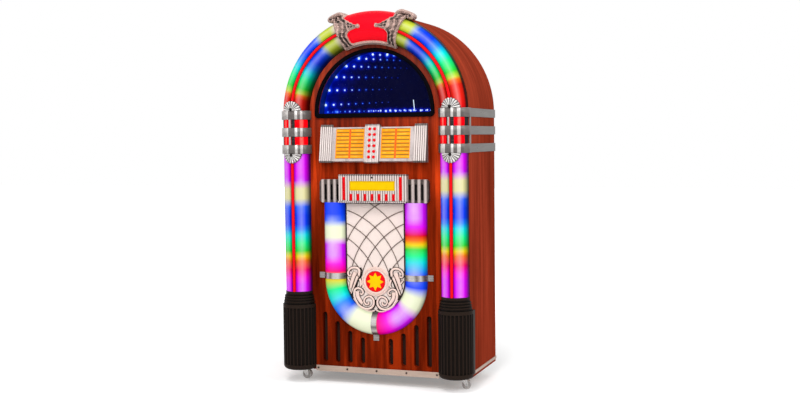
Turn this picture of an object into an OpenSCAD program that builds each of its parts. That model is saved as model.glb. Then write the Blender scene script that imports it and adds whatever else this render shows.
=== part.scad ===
// Arched jukebox cabinet with light tubes, lit window, selector, console and casters.
// Millimetres. The front faces -Y, Z is up and the floor is Z = 0.

/* [Cabinet] */
// Width over the wooden sides
cabinet_w = 660; // [640:1:720]
// Depth from the front panel's face to the back
cabinet_d = 318; // [280:1:380]
// Thickness of the arched shell
wall_t = 16; // [12:0.5:20]
// Thickness of the front panel
front_t = 18; // [12:0.5:22]
// Thickness of the back panel
back_t = 6; // [4:0.5:10]
// Thickness of the bottom board
bottom_t = 16; // [12:0.5:22]
// How far the back panel stops short of the shell's edge
back_inset = 2; // [1:0.5:5]
// Gap round the front panel
panel_gap = 0.2; // [0.1:0.1:1]

/* [Heights, from the floor up] */
// Floor to the underside of the cabinet
caster_h = 45; // [42:1:60]
// Underside of the cabinet to the middle of the bowl
bowl_rise = 314; // [300:1:360]
// Straight length of the bowl's legs
bowl_leg = 262; // [240:1:300]
// Height of the console block
console_h = 95; // [80:1:120]
// Console to selector
selector_gap = 40; // [30:1:60]
// Height of the selector's end caps
selector_h = 128; // [120:1:150]
// Selector to window
window_gap = 28; // [20:1:50]

/* [Light tubes] */
// Radius of the half-round tubes
tube_r = 47; // [40:0.5:50]
// Wood left outside the tubes
tube_edge = 2; // [1:0.5:4]
// Wall of the tubes
tube_wall = 3; // [2:0.5:5]
// Width of the red crest strip
strip_w = 9; // [6:0.5:12]
// Height of the crest strip
strip_h = 7.7; // [6:0.1:10]
// How far the strip stands proud of the tube
strip_rise = 2; // [1:0.1:2.2]
// Gap beside the strip
strip_gap = 0.3; // [0.1:0.1:0.6]

/* [Shoulder clamps] */
// Height of one band
band_h = 30; // [24:0.5:36]
// Height of the red lens between two bands
lens_h = 28; // [20:0.5:34]
// Top of the clamp above the spring of the arch
clamp_over = 10; // [6:0.5:20]
// Gap between the tube and the clamp
clamp_gap = 2.5; // [2.4:0.1:4]
// Thickness of the clamp
clamp_t = 4; // [3:0.5:6]
// How far the clamp runs back along the side
clamp_wrap = 13; // [12.5:0.5:50]
// Radius of the pleated fans
fan_r = 33; // [28:1:38]
// Thickness of the straps along the sides
side_strap_t = 2; // [1.5:0.5:4]

/* [Boots] */
// Outer radius of the boots
boot_r = 59; // [56:0.5:66]
// Height of the boots
boot_h = 270; // [240:1:290]
// Height of the ringed neck
neck_h = 40; // [34:1:50]
// Number of flutes on the half round
flute_count = 14; // [8:1:18]
// Radius of one flute
flute_r = 4.6; // [3:0.1:5]
// How far the boots run back along the sides
boot_wrap = 20; // [12:1:30]

/* [Crown] */
// Radius of the red lens
crown_r = 54; // [51:0.5:56]
// Half of the angle that the lens covers
crown_half_angle = 19; // [17:0.5:24]
// Angle covered by one collar
collar_angle = 6; // [5:0.5:8]
// Thickness of the cast frame
frame_t = 4; // [3:0.5:5]
// Gap between the lens and the frame
frame_gap = 0.3; // [0.3:0.1:0.6]

/* [Window] */
// Wood between the tubes and the bezel
arch_rim = 20; // [12:0.5:30]
// Width of the bezel
bezel_w = 13; // [10:0.5:18]
// Height of the bezel's lower bar
bezel_foot = 15.5; // [9:0.5:18]
// Thickness of the bezel
bezel_t = 7; // [4:0.5:10]
// Thickness of the glass
glass_t = 3; // [2:0.5:6]
// Depth of the light box behind the panel
box_depth = 42; // [30:1:60]

/* [Selector] */
// Width over the end caps
selector_w = 381; // [360:1:400]
// Width of one end cap
cap_w = 44; // [36:1:50]
// How far the lower edge stands forward
selector_reach = 30; // [27:0.5:36]
// Lean of the selector's face in degrees
selector_lean = 9.2; // [6:0.1:10]
// How far the frame sits behind the caps
frame_set_back = 3; // [2:0.5:5]
// Width of the middle strip
strip_plate_w = 52; // [46:1:56]
// Thickness of the middle strip's face
strip_plate_t = 4; // [3:0.5:5]
// Radius of a push-button
button_r = 5; // [3:0.1:5.2]
// How far a button stands proud
button_rise = 3; // [2:0.1:4]
// How far a button travels
button_travel = 2; // [1:0.1:2.5]
// Gap round a button
button_gap = 0.35; // [0.3:0.05:0.5]
// Half the distance between the two columns of buttons
button_x = 8.75; // [7:0.05:10]
// Distance between rows of buttons
button_pitch = 18.9; // [16:0.1:19]
// Width of a title card
card_w = 102; // [90:1:104]

/* [Console] */
// Width of the block
console_w = 242; // [220:1:260]
// Width over the wings
wings_w = 391; // [370:1:400]
// Height of the wings
wing_h = 78; // [66:1:80]
// Depth of the block without its reeds
console_d = 24; // [20:0.5:30]
// Depth of the wings
wing_d = 14.4; // [10:0.2:18]
// Distance between red inlays
inlay_pitch = 25.3; // [24:0.1:26]
// Width of an inlay
inlay_w = 9; // [7:0.1:10]
// Height of the short inlays
short_inlay_h = 23; // [16:0.5:26]
// Height of the two long inlays
long_inlay_h = 78; // [60:0.5:80]
// Width of the blank plate
plate_w = 161; // [140:1:170]
// Height of the blank plate
plate_h = 32; // [24:0.5:36]

/* [Bowl] */
// Outer radius of the bowl
bowl_r = 184.5; // [175:0.5:190]
// Width of its tube
bowl_w = 78.5; // [70:0.5:84]
// How far its tube stands forward
bowl_tube_h = 26; // [20:0.5:32]
// Width of the bowl's straps
bowl_strap_w = 20; // [14:0.5:26]
// Length of a strap's foot
strap_foot = 20; // [12:0.5:22]
// Thickness of a strap
bowl_strap_t = 2; // [1.5:0.1:3]
// Radius of the medallion's disc
medallion_r = 34.5; // [28:0.5:38]
// Width of a lattice wire
wire_w = 2.2; // [1:0.1:4]
// Thickness of the scrollwork
scroll_t = 5; // [3:0.5:8]

/* [Sound slots] */
// Width of a slot
slot_w = 17; // [10:0.5:22]
// Middle of the cabinet to the first slot
slot_first = 50.8; // [40:0.2:56]
// Distance between slots
slot_pitch = 45.6; // [40:0.2:46]
// Underside of the cabinet to the foot of the slots
slot_foot = 28; // [24:1:40]
// Heights of the slots, from the middle outwards
slot_heights = [90, 110, 141, 172];

/* [Speakers] */
// Radius of the two lower speakers
woofer_r = 64; // [50:1:66]
// Radius of the speaker behind the grille
middle_r = 62; // [56:1:80]
// Middle of the bowl to the middle of that speaker
middle_rise = 120; // [60:1:160]

/* [Electrics] */
// Length of the power supply's case
supply_w = 130; // [100:1:160]
// Depth of the power supply's case
supply_d = 70; // [50:1:90]
// Height of the power supply's case
supply_h = 42; // [30:1:60]
// Underside of the cabinet to the middle of the connectors
plug_rise = 145; // [100:1:200]
// Width of the connector plate
plug_plate_w = 180; // [170:1:220]
// Height of the connector plate
plug_plate_h = 80; // [70:1:100]
// Overlap of the connector plate behind the back panel
plug_lap = 10; // [6:1:14]

/* [Foot trims] */
// Height of the front strip
trim_h = 19.5; // [14:0.5:26]
// How far it hangs below the cabinet
trim_drop = 5; // [0:0.5:6]
// Thickness of the trims
trim_t = 3; // [2:0.5:5]

/* [Casters] */
// Radius of a wheel
wheel_r = 16; // [13:0.5:17]
// Width of a wheel
wheel_w = 14; // [10:0.5:18]
// Distance from kingpin to axle
trail = 12; // [8:0.5:14]
// Kingpin to the cabinet's side
caster_inset_x = 40; // [36:1:70]
// Kingpin to the cabinet's front or back
caster_inset_y = 45; // [40:1:70]
// How much further in from the side the back kingpins stand
caster_back_in = 44; // [0:1:80]
// Radius of the kingpin
kingpin_r = 4; // [3:0.5:5]
// Radius of the axle
axle_r = 2.5; // [2:0.25:3]
// Running gap round kingpin and axle
running_gap = 0.08; // [0.03:0.01:0.1]
// Direction in which the front wheels trail
caster_turn = 8; // [0:1:90]
// Direction in which the back wheels trail
caster_back_turn = -82; // [-180:1:180]

/* [Hidden] */
$fn = 64;
crown_frame_r = crown_r + frame_gap + frame_t;
front_reach = max(boot_r, crown_frame_r);
front_y = (front_reach - cabinet_d) / 2;
back_y = front_y + cabinet_d;
side_x = cabinet_w / 2;
base_z = caster_h;
bowl_z = base_z + bowl_rise;
console_z = bowl_z + bowl_leg;
selector_z = console_z + console_h + selector_gap;
window_z = selector_z + selector_h + window_gap;
window_drop = 10;
spring_z = window_z + window_drop;
path_r = side_x - tube_edge - tube_r;
strip_seat = tube_r + strip_rise - strip_h;
clamp_r = tube_r + clamp_gap;
clamp_out_r = clamp_r + clamp_t;
clamp_z1 = spring_z + clamp_over;
clamp_z0 = clamp_z1 - 3 * band_h - 2 * lens_h;
boot_z = base_z + 1;
boot_top = boot_z + boot_h;
barrel_h = boot_h - neck_h;
bezel_r = path_r - tube_r - arch_rim;
glass_r = bezel_r - 8;
open_r = glass_r + 0.4;
open_drop = window_drop - 5;
slope_len = selector_h / cos(selector_lean);
frame_x = selector_w / 2 - cap_w;
strip_depth = 14;
card_x = strip_plate_w / 2 + 4.5 + card_w / 2;
console_x = console_w / 2;
plate_z = console_z + 57 - plate_h / 2;
reed_pitch = inlay_pitch / 3;
reed_r = reed_pitch / 2 - 0.02;
reed_count = floor((console_x - reed_r) / reed_pitch);
bowl_path = bowl_r - bowl_w / 2;
bowl_arc_r = (pow(bowl_w / 2, 2) + pow(bowl_tube_h, 2)) / (2 * bowl_tube_h);
bowl_in_r = bowl_r - bowl_w;
scroll = bowl_in_r / 106;
medallion_z = bowl_z - 4;
slot_z = base_z + slot_foot;
kingpin_x = side_x - caster_inset_x;
back_kingpin_x = kingpin_x - caster_back_in;
fork_y = wheel_w / 2 + 1;
crown_z = caster_h - 9;
plug_z = base_z + plug_rise;

// Placing helpers

// Draws in width and height on the panel's face, with the third axis forward.
module on_front() {
    translate([0, front_y, 0]) rotate([90, 0, 0]) children();
}

// Extrudes a section, drawn in width and forward reach, from one height to another.
module upright(z0, z1) {
    translate([0, front_y, z0]) linear_extrude(z1 - z0) mirror([0, 1]) children();
}

// Sweeps a section, drawn in radius and forward reach, round a point on the panel's face.
module around(zc, from_angle, to_angle) {
    on_front() translate([0, zc, 0]) rotate([0, 0, from_angle])
        rotate_extrude(angle = to_angle - from_angle) children();
}

// Draws on the selector's leaning face: width, distance up the face, distance out of it.
module on_slope() {
    on_front() translate([0, selector_z, selector_reach]) rotate([-selector_lean, 0, 0]) children();
}

module both_sides() {
    children();
    mirror([1, 0, 0]) children();
}

module arch_outline(r, foot_z) {
    translate([0, spring_z]) circle(r);
    translate([-r, foot_z]) square([2 * r, spring_z - foot_z]);
}

module arch_slab(r, foot_z, y0, y1) {
    translate([0, y1, 0]) rotate([90, 0, 0]) linear_extrude(y1 - y0) arch_outline(r, foot_z);
}

module window_outline(r, drop, corner) {
    half_w = sqrt(r * r - pow(drop - corner, 2));
    translate([0, spring_z]) {
        intersection() {
            circle(r);
            translate([-r, corner - drop]) square([2 * r, r + drop]);
        }
        translate([corner - half_w, -drop]) square([2 * (half_w - corner), corner + 1]);
        for (s = [-1, 1]) translate([s * (half_w - corner), corner - drop]) circle(corner);
    }
}

module stadium(w, h) {
    translate([-w / 2, w / 2]) square([w, h - w]);
    translate([0, w / 2]) circle(w / 2);
    translate([0, h - w / 2]) circle(w / 2);
}

module half_ring(r_out, r_in) {
    intersection() {
        difference() {
            circle(r_out);
            circle(r_in);
        }
        translate([-r_out, 0]) square([2 * r_out, r_out]);
    }
}

module sector(r, from_angle, to_angle) {
    middle = (from_angle + to_angle) / 2;
    polygon([[0, 0], [r * cos(from_angle), r * sin(from_angle)], [r * cos(middle), r * sin(middle)],
        [r * cos(to_angle), r * sin(to_angle)]]);
}

// Fastener places, used by the screws and by the holes they sit in

module back_screw_places() {
    rise = (spring_z - base_z - 80) / 3;
    for (i = [0 : 3], s = [-1, 1])
        translate([s * (side_x - wall_t / 2), back_y, base_z + 60 + i * rise]) children();
    for (a = [30 : 30 : 150])
        translate([(side_x - wall_t / 2) * cos(a), back_y, spring_z + (side_x - wall_t / 2) * sin(a)])
            children();
    for (s = [-1, 1]) translate([s * 150, back_y, base_z + bottom_t / 2]) children();
}

module back_screw(slack) {
    rotate([90, 0, 0]) {
        cylinder(r = 1.8 + slack, h = back_t + 18);
        cylinder(r1 = 4 + slack, r2 = 1.8 + slack, h = 2.4);
    }
}

module trim_screw_places() {
    span = path_r - boot_r - 8;
    for (x = [-span, -span / 2, 0, span / 2, span])
        on_front() translate([x, base_z - trim_drop + trim_h / 2 + 1, 0]) children();
}

// Cabinet

module cabinet_shell() {
    color("saddlebrown") difference() {
        arch_slab(side_x, base_z, front_y, back_y - back_t);
        arch_slab(side_x - wall_t, base_z - 1, front_y - 1, back_y);
        back_screw_places() back_screw(0);
    }
}

module front_panel() {
    color("sienna") difference() {
        arch_slab(side_x - wall_t - panel_gap, base_z, front_y, front_y + front_t);
        on_front() translate([0, 0, -front_t - 1]) linear_extrude(front_t + 2) {
            window_outline(open_r, open_drop, 6);
            both_sides() for (i = [0 : 3])
                translate([slot_first + i * slot_pitch, slot_z]) stadium(slot_w, slot_heights[i]);
            translate([0, bowl_z + middle_rise]) circle(middle_r - 10);
        }
        trim_screw_places() translate([0, 0, -13]) cylinder(r = 1.7, h = 14);
    }
}

module back_panel() {
    color("peru") difference() {
        arch_slab(side_x - back_inset, base_z + back_inset, back_y - back_t, back_y);
        translate([plug_lap - plug_plate_w / 2, back_y - back_t - 1, plug_z + plug_lap - plug_plate_h / 2])
            cube([plug_plate_w - 2 * plug_lap, back_t + 2, plug_plate_h - 2 * plug_lap]);
        back_screw_places() back_screw(0);
    }
}

module bottom_board() {
    color("tan") difference() {
        translate([-side_x + wall_t, front_y + front_t, base_z])
            cube([cabinet_w - 2 * wall_t, cabinet_d - front_t - back_t, bottom_t]);
        back_screw_places() back_screw(0);
    }
}

module base_trims() {
    span = path_r - boot_r;
    color("gainsboro") {
        difference() {
            on_front() translate([-span, base_z - trim_drop, 0]) cube([2 * span, trim_h, trim_t]);
            trim_screw_places() translate([0, 0, -1]) cylinder(r = 1.7, h = trim_t + 2);
        }
        both_sides() translate([side_x, front_y + boot_wrap + 0.5, base_z + 8])
            cube([trim_t / 2, cabinet_d - boot_wrap - 0.5, 10]);
    }
}

module panel_screws() {
    color("dimgray") {
        back_screw_places() back_screw(0);
        trim_screw_places() {
            translate([0, 0, trim_t]) cylinder(r = 3.4, h = 1.6);
            translate([0, 0, -13]) cylinder(r = 1.7, h = 14 + trim_t);
        }
    }
}

// Casters

function caster_x(s) = s < 0 ? kingpin_x : back_kingpin_x;
function caster_y(s) = s < 0 ? front_y + caster_inset_y : back_y - caster_inset_y;

module at_caster(sx, sy) {
    translate([sx * caster_x(sy), caster_y(sy), 0])
        rotate([0, 0, sy < 0 ? caster_turn : caster_back_turn]) children();
}

module caster_plates() {
    color("silver") for (sx = [-1, 1], sy = [-1, 1]) at_caster(sx, sy) {
        translate([-19, -19, caster_h - 2.5]) cube([38, 38, 2.5]);
        translate([0, 0, crown_z - 2.5]) cylinder(r = kingpin_r, h = 11.5);
        translate([0, 0, caster_h - 3.7]) cylinder(r = 10, h = 3);
        translate([0, 0, crown_z - 2.5]) cylinder(r = kingpin_r + 2.5, h = 2.2);
    }
}

module caster_fork(sx, sy) {
    color("lightgray") at_caster(sx, sy) {
        difference() {
            union() {
                translate([0, 0, crown_z]) cylinder(r = 13, h = 5);
                translate([-8, -fork_y - 2, crown_z]) cube([trail + 11, 2 * fork_y + 4, 2.5]);
            }
            translate([0, 0, crown_z - 1]) cylinder(r = kingpin_r + running_gap, h = 8);
        }
        for (s = [-1, 1]) translate([0, s * (fork_y + 1) + 1, 0]) rotate([90, 0, 0]) linear_extrude(2) {
            polygon([[-8, crown_z + 2.5], [trail + 3, crown_z + 2.5], [trail + 6, wheel_r],
                [trail - 6, wheel_r]]);
            translate([trail, wheel_r]) circle(6);
        }
        translate([trail, fork_y + 3.2, wheel_r]) rotate([90, 0, 0])
            cylinder(r = axle_r, h = 2 * fork_y + 6.4);
    }
}

module caster_wheel(sx, sy) {
    color("dimgray") at_caster(sx, sy) translate([trail, 0, wheel_r]) rotate([90, 0, 0]) {
        difference() {
            translate([0, 0, -wheel_w / 2]) cylinder(r = wheel_r, h = wheel_w);
            translate([0, 0, -wheel_w]) cylinder(r = axle_r + running_gap, h = 2 * wheel_w);
            for (s = [-1, 1]) translate([0, 0, s * wheel_w / 2]) rotate_extrude()
                translate([6, -1.5]) square([wheel_r - 9, 3]);
        }
    }
}

// Light tubes

module tube_section() {
    difference() {
        union() {
            half_ring(tube_r, tube_r - tube_wall);
            intersection() {
                circle(tube_r - 0.5);
                translate([-strip_w / 2 - 3, strip_seat - 3]) square([strip_w + 6, 20]);
            }
        }
        translate([-strip_w / 2 - strip_gap, strip_seat]) square([strip_w + 2 * strip_gap, 20]);
    }
}

module strip_section() {
    translate([-strip_w / 2, strip_seat]) square([strip_w, strip_h]);
}

module arch_light_tubes() {
    color("aquamarine") both_sides() around(spring_z, 0, 90 - crown_half_angle)
        translate([path_r, 0]) tube_section();
}

module column_light_tubes() {
    color("plum") both_sides() upright(boot_top, spring_z) translate([path_r, 0]) tube_section();
}

module crest_strips() {
    color("red") both_sides() {
        upright(boot_top, spring_z - 0.2) translate([path_r, 0]) strip_section();
        around(spring_z, 0, 90 - crown_half_angle) translate([path_r, 0]) strip_section();
    }
}

// Shoulder clamps

module band_section() {
    half_ring(clamp_out_r, clamp_r);
    translate([side_x - path_r, -clamp_wrap]) square([clamp_out_r - side_x + path_r, clamp_wrap]);
    intersection() {
        difference() {
            for (a = [10 : 16 : 170]) rotate(a) translate([clamp_out_r, 0]) circle(2.6);
            circle(clamp_r);
        }
        translate([-80, 0]) square([160, 80]);
    }
}

module clamp_frames() {
    color("silver") both_sides() {
        for (i = [0 : 2]) translate([0, 0, i * (band_h + lens_h)])
            upright(clamp_z0, clamp_z0 + band_h) translate([path_r, 0]) band_section();
        upright(clamp_z0, clamp_z1) translate([path_r, 0]) {
            intersection() {
                half_ring(clamp_out_r, clamp_r);
                translate([-6, 0]) square([12, 80]);
            }
            translate([-clamp_out_r - 1, 0]) square([clamp_out_r - clamp_r + 1, 3.5]);
            translate([side_x - path_r, -clamp_wrap]) square([clamp_out_r - side_x + path_r, 12]);
        }
    }
}

module clamp_lenses() {
    color("crimson") both_sides() for (i = [0 : 1]) upright(clamp_z0 + band_h + i * (band_h + lens_h),
        clamp_z0 + (i + 1) * (band_h + lens_h)) translate([path_r, 0]) {
        intersection() {
            half_ring(clamp_r + 2.6, clamp_r + 0.3);
            sector(90, 7, 82);
        }
        intersection() {
            half_ring(clamp_r + 2.6, clamp_r + 0.3);
            sector(90, 98, 173);
        }
    }
}

module fan_outline() {
    petal_r = fan_r * 0.17;
    intersection() {
        circle(fan_r - petal_r);
        translate([-fan_r, 0]) square([2 * fan_r, fan_r]);
    }
    intersection() {
        for (a = [9 : 18 : 171]) rotate(a) translate([fan_r - petal_r, 0]) circle(petal_r);
        translate([-fan_r, 0]) square([2 * fan_r, fan_r]);
    }
}

module fan() {
    intersection() {
        upright(clamp_z1, clamp_z1 + fan_r + 1) translate([path_r, 0]) half_ring(clamp_r + 3, clamp_r);
        on_front() translate([path_r, clamp_z1, 20]) linear_extrude(60) fan_outline();
    }
}

module clamp_fans() {
    middle = (clamp_z0 + clamp_z1) / 2;
    color("lightgray") both_sides() {
        fan();
        translate([0, 0, 2 * middle]) mirror([0, 0, 1]) fan();
    }
}

module side_straps() {
    color("lightsteelblue") both_sides() for (i = [0 : 2])
        translate([side_x, front_y + clamp_wrap, clamp_z0 + i * (band_h + lens_h) + 1])
            cube([side_strap_t, cabinet_d - clamp_wrap, band_h - 2]);
}

// Boots

module boot_profile() {
    corner = 14;
    translate([0, corner]) square([boot_r, barrel_h - corner - 4]);
    square([boot_r - corner, corner + 1]);
    translate([boot_r - corner, corner]) intersection() {
        circle(corner);
        translate([-corner, -corner]) square([2 * corner, corner + 1]);
    }
    translate([0, barrel_h - 5]) square([boot_r - 4, 6]);
    for (i = [0 : 2]) translate([0, barrel_h + i * 9]) {
        square([boot_r - 6 - 1.5 * i, 9.1]);
        translate([0, 2]) square([boot_r - 3.5 - 1.5 * i, 5]);
    }
    translate([0, barrel_h + 27]) square([tube_r + 1, neck_h - 27]);
}

module boot_half() {
    difference() {
        union() {
            rotate([0, 0, 180]) rotate_extrude(angle = 180) boot_profile();
            translate([side_x - path_r, 0, 14]) cube([boot_r - side_x + path_r, boot_wrap, barrel_h - 18]);
        }
        for (i = [0 : flute_count - 1]) rotate([0, 0, 180 + (i + 0.5) * 180 / flute_count])
            translate([boot_r + 1.4, 0, 18]) cylinder(r = flute_r, h = barrel_h - 34);
        translate([0, 0, 5]) cylinder(r = tube_r - 1, h = barrel_h - 10);
    }
}

module boots() {
    color("black") both_sides() translate([path_r, front_y, boot_z]) boot_half();
}

// Crown

module crown_lens() {
    color("red") around(spring_z, 90 - crown_half_angle, 90 + crown_half_angle)
        translate([path_r, 0]) half_ring(crown_r, crown_r - 3);
}

module crown_frame() {
    in_r = crown_r + frame_gap;
    collar_0 = 90 - crown_half_angle - collar_angle / 2;
    collar_1 = collar_0 + collar_angle;
    lip = side_x - path_r;
    color("rosybrown") {
        around(spring_z, collar_0 + 0.4, 179.6 - collar_0) translate([path_r, 0]) intersection() {
            half_ring(crown_frame_r - 0.4, in_r + 0.1);
            translate([-crown_frame_r, 0]) square([crown_frame_r - 0.82 * crown_r, crown_frame_r]);
        }
        both_sides() {
            around(spring_z, collar_0, collar_1) translate([path_r, 0]) {
                half_ring(crown_frame_r, in_r);
                translate([in_r + 0.5, -14]) square([crown_frame_r - in_r - 0.6, 15]);
                translate([lip, -14]) square([in_r + 1 - lip, 13.5]);
            }
            around(spring_z, collar_1 - 0.5, collar_1 + 4) translate([path_r, 0]) intersection() {
                half_ring(crown_frame_r - 0.6, in_r + 0.2);
                translate([-16, 0]) square([32, 80]);
            }
            around(spring_z, collar_1 + 3.5, collar_1 + 10) translate([path_r, 0]) intersection() {
                half_ring(crown_frame_r - 1.2, in_r + 0.4);
                translate([-5, 0]) square([10, 80]);
            }
            for (curl = [[collar_0 - 2.2, 11, 10, 35], [collar_0 + 0.3, 12.5, 9, 34],
                [collar_0 + 3.2, 13, 8.4, 33]])
                on_front() translate([0, spring_z, 4]) rotate(curl[0])
                    translate([side_x + curl[1], 0, -curl[3] / 2]) cylinder(r = curl[2], h = curl[3]);
        }
    }
}

// Window

module window_bezel() {
    color("black") on_front() linear_extrude(bezel_t) difference() {
        window_outline(bezel_r, bezel_foot + 1, 14);
        window_outline(bezel_r - bezel_w, 1, 5);
    }
}

module window_glass() {
    color("midnightblue") on_front() translate([0, 0, -glass_t]) linear_extrude(glass_t)
        window_outline(glass_r, open_drop - 0.4, 6);
}

module window_light_box() {
    color("navy") on_front() translate([0, 0, -front_t - box_depth]) linear_extrude(box_depth) difference() {
        window_outline(open_r + 10, open_drop + 10, 12);
        window_outline(open_r, open_drop, 6);
    }
}

module rear_mirror() {
    color("darkblue") on_front() translate([0, 0, -front_t - box_depth - 3]) linear_extrude(3)
        window_outline(open_r + 10, open_drop + 10, 12);
}

// Selector

module slope_block(x0, x1, s0, s1, n0, n1) {
    on_slope() translate([x0, s0, n0]) cube([x1 - x0, s1 - s0, n1 - n0]);
}

module in_front_of_panel() {
    translate([-side_x, front_y - 100, 0]) cube([cabinet_w, 100, spring_z + side_x]);
}

module selector_frame() {
    color("silver") difference() {
        intersection() {
            slope_block(-frame_x, frame_x, 5, slope_len - 10, -70, -frame_set_back);
            in_front_of_panel();
        }
        for (s = [-1, 1]) slope_block(s * card_x - card_w / 2 - 0.3, s * card_x + card_w / 2 + 0.3, 13.7,
            slope_len - 14.7, -frame_set_back - 2.5, 20);
        slope_block(-strip_plate_w / 2 - 0.3, strip_plate_w / 2 + 0.3, -20, slope_len + 20,
            -strip_depth - 2.4, 30);
    }
}

module selector_caps() {
    color("whitesmoke") both_sides() {
        intersection() {
            union() {
                slope_block(frame_x, selector_w / 2, 0, slope_len, -70, -2);
                for (i = [0 : 4]) on_slope() translate([frame_x + cap_w * (i + 0.5) / 5, 0, -4])
                    rotate([-90, 0, 0]) cylinder(r = cap_w / 10 - 0.02, h = slope_len);
            }
            in_front_of_panel();
        }
    }
}

module title_cards() {
    color("orange") for (s = [-1, 1]) slope_block(s * card_x - card_w / 2, s * card_x + card_w / 2, 14,
        slope_len - 15, -frame_set_back - 2.5, -frame_set_back - 1.3);
}

function button_s(row) = slope_len / 2 + (2.5 - row) * button_pitch;

module button_strip() {
    half_w = strip_plate_w / 2;
    color("gainsboro") difference() {
        union() {
            intersection() {
                slope_block(-half_w, half_w, -1, slope_len - 2, -strip_depth, strip_plate_t);
                in_front_of_panel();
            }
            for (x = [-half_w + 4, -half_w + 9, 0, half_w - 9, half_w - 4])
                on_slope() translate([x, -1, strip_plate_t]) rotate([-90, 0, 0])
                    cylinder(r = 2.2, h = slope_len - 1);
        }
        slope_block(-half_w + 3, half_w - 3, 2, slope_len - 5, -strip_depth - 1, 0);
        for (row = [0 : 5], s = [-1, 1])
            on_slope() translate([s * button_x, button_s(row), -1])
                cylinder(r = button_r + button_gap, h = 20);
    }
}

module select_button(row, s) {
    color("red") on_slope() translate([s * button_x, button_s(row), 0]) {
        translate([0, 0, -5]) cylinder(r = button_r, h = 5 + strip_plate_t + button_rise);
        translate([0, 0, -5]) cylinder(r = button_r + 1.6, h = 4.7);
        translate([0, 0, -7]) cylinder(r = 2, h = 3);
    }
}

// Console

module console_block() {
    color("silver") difference() {
        union() {
            on_front() translate([-console_x, console_z, 0]) cube([console_w, console_h, console_d]);
            for (i = [-reed_count : reed_count]) on_front()
                translate([i * reed_pitch, console_z + 6, console_d])
                    rotate([-90, 0, 0]) cylinder(r = reed_r, h = console_h - 8);
            on_front() translate([-console_x, console_z, 0]) cube([console_w, 5, console_d + 6]);
        }
        on_front() translate([-plate_w / 2 - 0.3, plate_z - 0.3, console_d - 1])
            cube([plate_w + 0.6, plate_h + 0.6, 20]);
        for (i = [-3 : 3]) on_front()
            translate([i * inlay_pitch - inlay_w / 2 - 0.2, console_z + 6.8, console_d - 2])
                cube([inlay_w + 0.4, short_inlay_h + 0.4, 20]);
        for (s = [-4, 4]) on_front()
            translate([s * inlay_pitch - inlay_w / 2 - 0.2, console_z + 8.3, console_d - 2])
                cube([inlay_w + 0.4, long_inlay_h + 0.4, 20]);
        on_front() translate([0, console_z + console_h - 10.5, console_d - 6]) cylinder(r = 3.2, h = 20);
    }
}

module console_wings() {
    wing_x = wings_w / 2;
    corner = 12;
    slot_pitch_x = (wing_x - console_x) / 3.4;
    color("gray") both_sides() on_front() difference() {
        linear_extrude(wing_d) {
            translate([console_x, console_z]) square([wing_x - console_x - corner, wing_h]);
            translate([wing_x - corner - 1, console_z + corner]) square([corner + 1, wing_h - 2 * corner]);
            for (z = [corner, wing_h - corner]) translate([wing_x - corner, console_z + z]) circle(corner);
        }
        for (i = [0 : 2]) translate([console_x + 8 + i * slot_pitch_x, console_z + 7.5, 4])
            linear_extrude(20) stadium(9, wing_h - 23);
    }
}

module console_plate() {
    color("gold") on_front() translate([-plate_w / 2, plate_z, console_d - 1]) cube([plate_w, plate_h, 3]);
}

module console_inlays() {
    color("red") on_front() {
        for (i = [-3 : 3]) translate([i * inlay_pitch - inlay_w / 2, console_z + 7, console_d - 2])
            cube([inlay_w, short_inlay_h, 6.6]);
        for (s = [-4, 4]) translate([s * inlay_pitch - inlay_w / 2, console_z + 8.5, console_d - 2])
            cube([inlay_w, long_inlay_h, 6.6]);
        translate([0, console_z + console_h - 10.5, console_d - 6]) cylinder(r = 3, h = 10.6);
    }
}

// Bowl and grille

module bowl_section(grow) {
    intersection() {
        translate([0, bowl_tube_h - bowl_arc_r]) circle(bowl_arc_r + grow);
        translate([-bowl_w, 0]) square([2 * bowl_w, bowl_w]);
    }
}

module bowl_wall() {
    difference() {
        bowl_section(0);
        bowl_section(-3);
    }
}

module bowl_light_tube() {
    color("violet") {
        around(bowl_z, 180, 360) translate([bowl_path, 0]) bowl_wall();
        both_sides() upright(bowl_z - 0.01, console_z) translate([bowl_path, 0]) bowl_wall();
    }
}

module strap_section() {
    difference() {
        intersection() {
            union() {
                bowl_section(bowl_strap_t + 0.3);
                square([bowl_w / 2 + strap_foot, bowl_strap_t]);
            }
            translate([-bowl_w / 2, 0]) square([bowl_w + strap_foot, bowl_w]);
        }
        bowl_section(0.3);
    }
}

module bowl_straps() {
    color("silver") {
        both_sides() upright(bowl_z + 3, bowl_z + 3 + bowl_strap_w)
            translate([bowl_path, 0]) strap_section();
        on_front() translate([bowl_strap_w / 2, bowl_z, 0]) rotate([90, 0, -90])
            linear_extrude(bowl_strap_w) translate([bowl_path, 0]) strap_section();
    }
}

module grille_outline(r) {
    intersection() {
        translate([0, bowl_z]) circle(r);
        translate([-r, bowl_z - r]) square([2 * r, r]);
    }
    translate([-r, bowl_z - 0.01]) square([2 * r, bowl_leg]);
}

module grille_cloth() {
    color("linen") on_front() linear_extrude(1.2) grille_outline(bowl_in_r - 0.3);
}

module wire(i) {
    translate([0, bowl_z]) scale(scroll) translate([181 + 33 * i, (i < 0 ? -16 : -28) - 32 * i]) difference() {
        circle(275);
        circle(275 - wire_w / scroll);
    }
}

module grille_lattice() {
    color("dimgray") on_front() translate([0, 0, 1.2]) linear_extrude(2) intersection() {
        both_sides() for (i = [-1 : 3]) wire(i);
        translate([0.3 - bowl_in_r, bowl_z + 44 * scroll])
            square([2 * bowl_in_r - 0.6, bowl_leg - 44 * scroll - 1]);
    }
}

module ring_part(x, z, r, w, from_angle, to_angle) {
    translate([x, z] * scroll) intersection() {
        difference() {
            circle((r + w / 2) * scroll);
            circle((r - w / 2) * scroll);
        }
        sector(3 * r * scroll, from_angle, to_angle);
    }
}

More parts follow.
